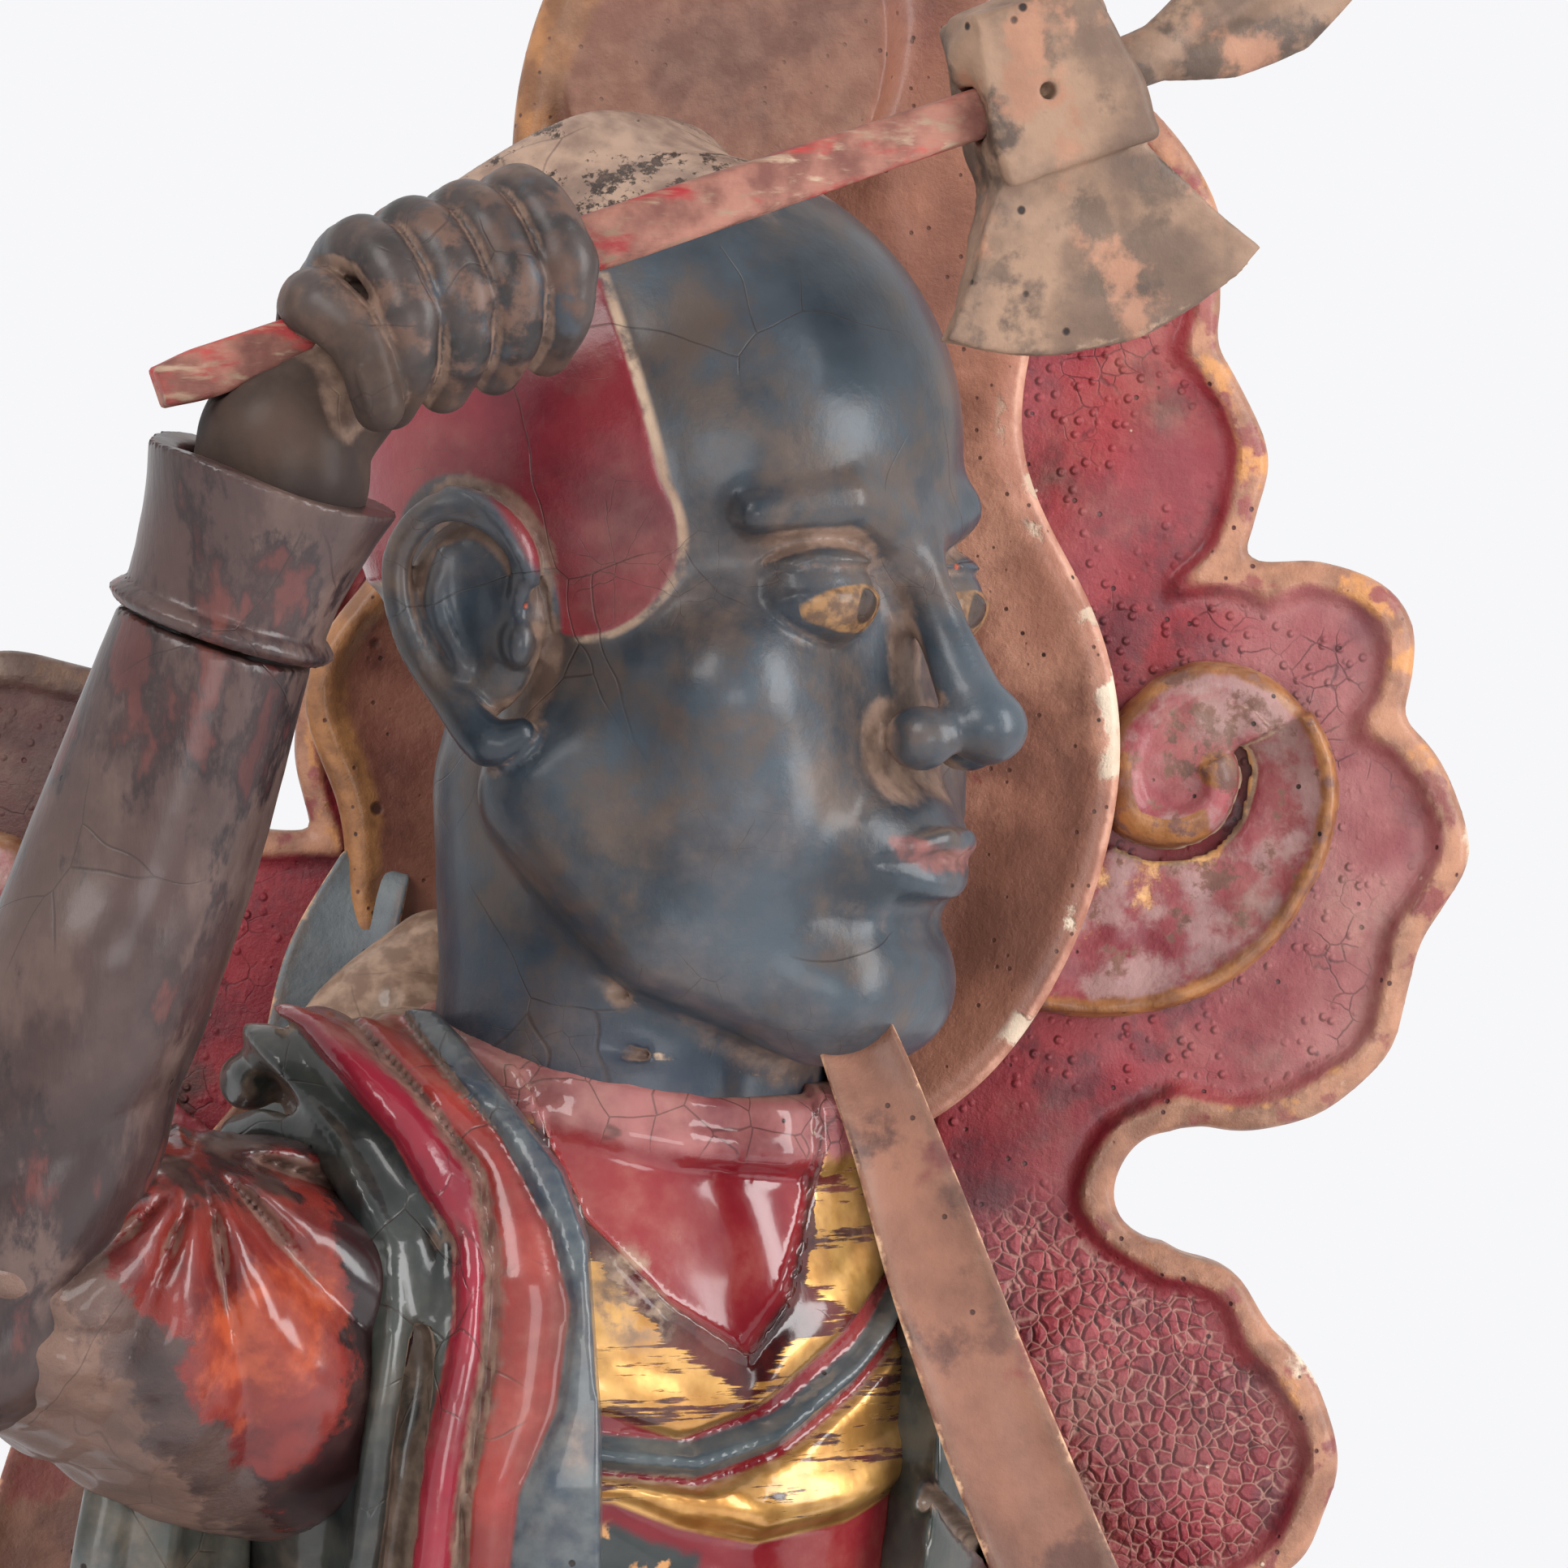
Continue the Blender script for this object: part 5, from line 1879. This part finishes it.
def model_rock():
    rows = [(52, 0, -2, 111, 83, 0), (64, 0, -2, 109, 81, 0), (77, 0, -2, 100, 75, 0), (88, 0, -2, 92, 68, 0)]
    clay = Clay((-114, -88, 51), (114, 86, 89), 1.5)
    clay.add(column(rows))

    def chisel(x, y, z):
        t = np.arctan2((y + 2) / 0.76, x)
        crag = abs(
            np.sin(4.5 * t + 0.9 * np.sin(z / 9))
        ) + 0.45 * abs(np.sin(9.7 * t + 1.1 + z / 7)) + 0.25 * abs(np.sin(21 * t + z / 5))
        step_cut = 1.8 * smooth(np.sin(z / 3.1 + 2.2 * np.sin(3 * t)), 0.1, 0.9)
        on_side = smooth(np.hypot(x / 1.32, y + 2), 55, 68)
        return on_side * (
            2.6 * crag - 4.8 + step_cut * 0.8
        ) - (1 - on_side) * 0.6 * abs(np.sin(x / 9 + np.sin(y / 11))) * smooth(z, 80, 88)

    clay.swell(chisel)
    clay.keep(side_of((0, 0, ROCK_TOP - 0.02), (0, 0, 1)))
    clay.keep(side_of((0, 0, 52.02), (0, 0, -1)))
    clay.cut(brick((0, 53, 88), (28.4, 6.4, 21), corner=0.2), 0.2)
    for _, (bx, by), _ in BOOTS:
        clay.cut(limb([(bx, by, 76), (bx, by, 100)], 7.3), 0.1)
    p = Paint("rock_lacquer")
    p.coat((shade(30, 36, 38), shade(66, 70, 66)), rough=0.4, size=26)
    p.coat((shade(44, 56, 62), shade(78, 90, 94)), p.step(p.noise(22, 8.0, rough=0.6), 0.5, 0.62), rough=0.35)
    p.coat(
        (shade(78, 60, 48), shade(108, 84, 66)), p.step(p.noise(18, 8.0, rough=0.65), 0.56, 0.66), rough=0.6
    )
    p.wear(OCHRE, 0.66, 0.86, 0.45)
    p.craquelure(12, 0.02, mask=p.step(p.noise(30, 4.0), 0.5, 0.6))
    p.dust(1.0, low=0.26, high=0.56)
    p.pits(7, 0.8, share=0.35)
    carving("rock_carving", clay, "base", ["rock_mound"], p.done(coat=0.2))


def slab_form(half_w, half_d, low, high, profile, corner=5.0):
    """A rounded board whose edge steps in by profile, rows of height and inset."""
    def far(x, y, z):
        inset = np.interp(z, *zip(*profile))
        out = [abs(x) - half_w + corner + inset, abs(y) - half_d + corner + inset]
        rim = np.hypot(
            np.maximum(out[0], 0), np.maximum(out[1], 0)
        ) + np.minimum(np.maximum(out[0], out[1]), 0) - corner
        return np.maximum(rim, np.maximum(low - z, z - high))
    return np.array((-half_w, -half_d, low), float), np.array((half_w, half_d, high), float), far


def plinth_paint(name, base=CRIMSON, rim=True):
    p = Paint(name)
    p.coat(base, rough=0.3, size=34)
    p.coat(
        tuple(tuple(c * 0.5 for c in s[:3]) + (1,) for s in base),
        p.step(p.noise(30, 8.0, stretch=(0.4, 1, 1)), 0.5, 0.64), rough=0.28
    )
    if rim:
        p.coat(OCHRE, p.near_mark("bead", -0.4, 0.5, 0.8), rough=0.38, size=10)
        p.coat(
            BOLE, p.all_of(p.near_mark("bead", -0.4, 0.5, 0.8), p.step(p.noise(9, 8.0), 0.53, 0.60)),
            rough=0.28
        )
    p.raise_by(0.10, p.noise(1.8, 6.0, stretch=(0.08, 0.5, 1)))
    p.craquelure(13, 0.02, mask=p.step(p.noise(36, 4.0), 0.48, 0.6))
    p.dust(1.0, low=0.32, high=0.62)
    p.wear((shade(86, 54, 42), shade(140, 106, 82)), 0.74, 1.0, 0.7, depth=-0.25)
    p.pits(9, 0.8, share=0.3)
    return p.done(coat=0.28, coat_rough=0.18)


def model_plinth():
    paint = plinth_paint("plinth_lacquer")
    foot = [(0, 0.4), (1, 0), (6, 0), (7, 1.4), (8, 1.6), (10, 3.4), (12, 6.2), (14, 9.0)]
    clay = Clay((-127, -95, -1), (127, 95, 15), 1.1)
    clay.add(slab_form(125, 93, 0.02, 13.98, foot))
    for s in (-1, 1):
        clay.cut(
            limb(
                curve(
                    [
                        (-78, s * 95, -1.5), (-40, s * 95, 1.6), (0, s * 95, 2.6), (40, s * 95, 1.6),
                        (78, s * 95, -1.5)
                    ],
                    6
                ),
                2.2
            ),
            1.5
        )
    marks = {"bead": lambda x, y, z: 1.3 - abs(z - 6.6)}
    carving("foot_board_carving", clay, "base", ["plinth_foot_board"], paint, marks)

    cap = [(40, 8.5), (42, 5.0), (44, 3.2), (45, 3.0), (46, 0.6), (47, 0), (50.6, 0), (52, 1.4)]
    clay = Clay((-124, -92, 39), (124, 92, 53), 1.1)
    clay.add(slab_form(122, 90, 40.02, 51.98, cap))
    marks = {"bead": lambda x, y, z: 1.5 - abs(z - 45.2)}
    carving("cap_board_carving", clay, "base", ["plinth_cap_board"], paint, marks)

    dark = plinth_paint("waist_lacquer", (shade(84, 24, 26), shade(116, 40, 38)))
    for name in ("waist_front", "waist_back", "waist_left", "waist_right"):
        low, high = (np.array(corner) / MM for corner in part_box(name))
        mid, half = (low + high) / 2, (high - low) / 2
        long_way = 0 if half[0] > half[1] else 1
        out = 1 if mid[1 - long_way] > 0 else -1
        clay = Clay(low - 1, high + 1, 0.9)
        clay.add(brick(mid, half - 0.03, corner=0.4))

        def panel(x, y, z, mid=mid, half=half, long_way=long_way):
            """How far a point lies inside the sunk panel, whose ends are cusped."""
            t = (x, y)[long_way] - mid[long_way]
            cell = half[long_way] / (2 if half[long_way] > 90 else 1)
            t = abs(t) - cell if half[long_way] > 90 else t
            w = cell - 7
            cusp = 3.0 * abs(np.sin((z - mid[2]) / 4.2))
            return np.minimum(w - abs(t) - cusp, half[2] - 5 - abs(z - mid[2]))

        face = mid[1 - long_way] + out * half[1 - long_way]

        def sink(x, y, z, face=face, out=out, long_way=long_way, panel=panel):
            near = smooth(out * ((x, y)[1 - long_way] - face), -5, -2)
            inside = panel(x, y, z)
            scroll = 1.1 * np.clip(np.sin((x, y)[long_way] / 7.0) * np.cos((z - 27) / 4.0) + 0.2, 0, 1)
            return near * (-2.2 * smooth(inside, -0.4, 0.9) + scroll * smooth(inside, 2, 5))

        clay.swell(sink)
        marks = {"bead": lambda x, y, z, panel=panel: 1.6 - abs(panel(x, y, z) - 0.2)}
        carving(name + "_carving", clay, "base", [name], dark, marks)


# ---------- pieces that keep their CAD shape ----------


def finish_nodes():
    """Gives the plain turned and sawn pieces their wood and iron."""
    p = Paint("bare_wood")
    p.coat(BARE, rough=0.7, size=12)
    rings = p.noise(2.2, 5.0, stretch=(1, 1, 0.12), rough=0.6)
    p.coat((shade(112, 78, 52), shade(140, 102, 70)), p.step(rings, 0.46, 0.62), rough=0.75)
    p.coat(GRIME, p.step(p.noise(9, 7.0), 0.60, 0.70), rough=0.85)
    p.raise_by(0.15, rings)
    wood = p.done(grain=0.04)
    p = Paint("old_iron")
    p.coat((shade(58, 50, 46), shade(86, 72, 62)), rough=0.55, size=3)
    p.coat((shade(112, 62, 36), shade(140, 84, 50)), p.step(p.noise(2.5, 7.0), 0.50, 0.62), rough=0.85)
    p.raise_by(0.15, p.noise(1.1, 5.0))
    iron = p.done(metal=0.6, grain=0.05)
    p = Paint("cover_board")
    grain = p.noise(2.4, 6.0, stretch=(1, 1, 0.07), rough=0.6)
    p.coat((shade(74, 30, 28), shade(104, 46, 38)), rough=0.5, size=18)
    p.coat(
        (shade(112, 78, 56), shade(142, 106, 78)), p.step(p.sum("ADD", grain, p.noise(18, 7.0)), 1.02, 1.14),
        rough=0.75
    )
    p.raise_by(0.2, grain)
    p.coat(DUST, p.step(p.noise(14, 8.0), 0.58, 0.72), rough=0.9)
    cover = p.done(coat=0.1, grain=0.04)
    kinds = {
        wood: ("mound_pegs", "boot_tenons", "waist_tenon", "neck_tenon", "shoulder_dowels", "elbow_dowels",
               "wrist_dowel_left", "wrist_dowel_right", "halo_pins", "board_dowels"),
        iron: ("screen_spikes",),
        cover: ("relic_cover",),
    }
    for paint, names in kinds.items():
        for name in names:
            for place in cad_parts[name].material_slots:
                place.material = paint


# ---------- stage ----------


def light(name, at, aim, size, power, colour=(1, 1, 1)):
    data = bpy.data.lights.new(name, "AREA")
    data.shape, data.size, data.size_y = "RECTANGLE", size[0] * MM, size[1] * MM
    data.energy, data.color = power, colour
    lamp = bpy.data.objects.new(name, data)
    lamp.location = Vector(at) * MM
    lamp.rotation_euler = (Vector(aim) - Vector(at)).to_track_quat("-Z", "Y").to_euler()
    bpy.context.scene.collection.objects.link(lamp)


def set_stage():
    scene = bpy.context.scene
    scene.view_settings.view_transform = "Standard"
    camera = bpy.data.objects.new("camera", bpy.data.cameras.new("camera"))
    camera.data.sensor_width, camera.data.lens = 36, 149
    camera.location = Vector((20.75, -1000, EYE_LEVEL)) * MM
    camera.rotation_euler = (math.radians(90), 0, 0)
    camera.data.clip_start, camera.data.clip_end = 0.05, 50
    scene.collection.objects.link(camera)
    scene.camera = camera

    world = bpy.data.worlds.new("studio")
    scene.world = world
    world.use_nodes = True
    world.node_tree.nodes["Background"].inputs["Color"].default_value = shade(247, 247, 249)
    world.node_tree.nodes["Background"].inputs["Strength"].default_value = 1.0
    light("window", (-900, -1300, 1700), (0, 0, 560), (900, 900), 21, (1.0, 0.98, 0.96))
    light("right_panel", (1100, -500, 900), (20, 0, 600), (500, 1100), 16)
    light("front_panel", (350, -1700, 500), (0, 0, 560), (700, 500), 6)

    bpy.ops.mesh.primitive_plane_add(size=6, location=(0, 0, -0.0005))
    floor = bpy.context.object
    floor.name = "floor"
    p = Paint("floor_paper")
    p.coat((shade(236, 236, 238), shade(240, 240, 242)), rough=0.8, size=400)
    floor.data.materials.append(p.done(grain=0))


set_stage()
model_head()
model_hand()
model_axe()
model_forearm()
model_upper_arm()
model_chest()
model_coat()
model_scarf()
model_halo()
model_screen()
model_scroll("scroll_left", (86.5, 619), 1)
model_scroll("scroll_right", (-106, 592), -1)
model_left_arm()
model_falls()
model_skirts()
model_apron()
model_belt()
model_boots()
model_rock()
model_plinth()
finish_nodes()
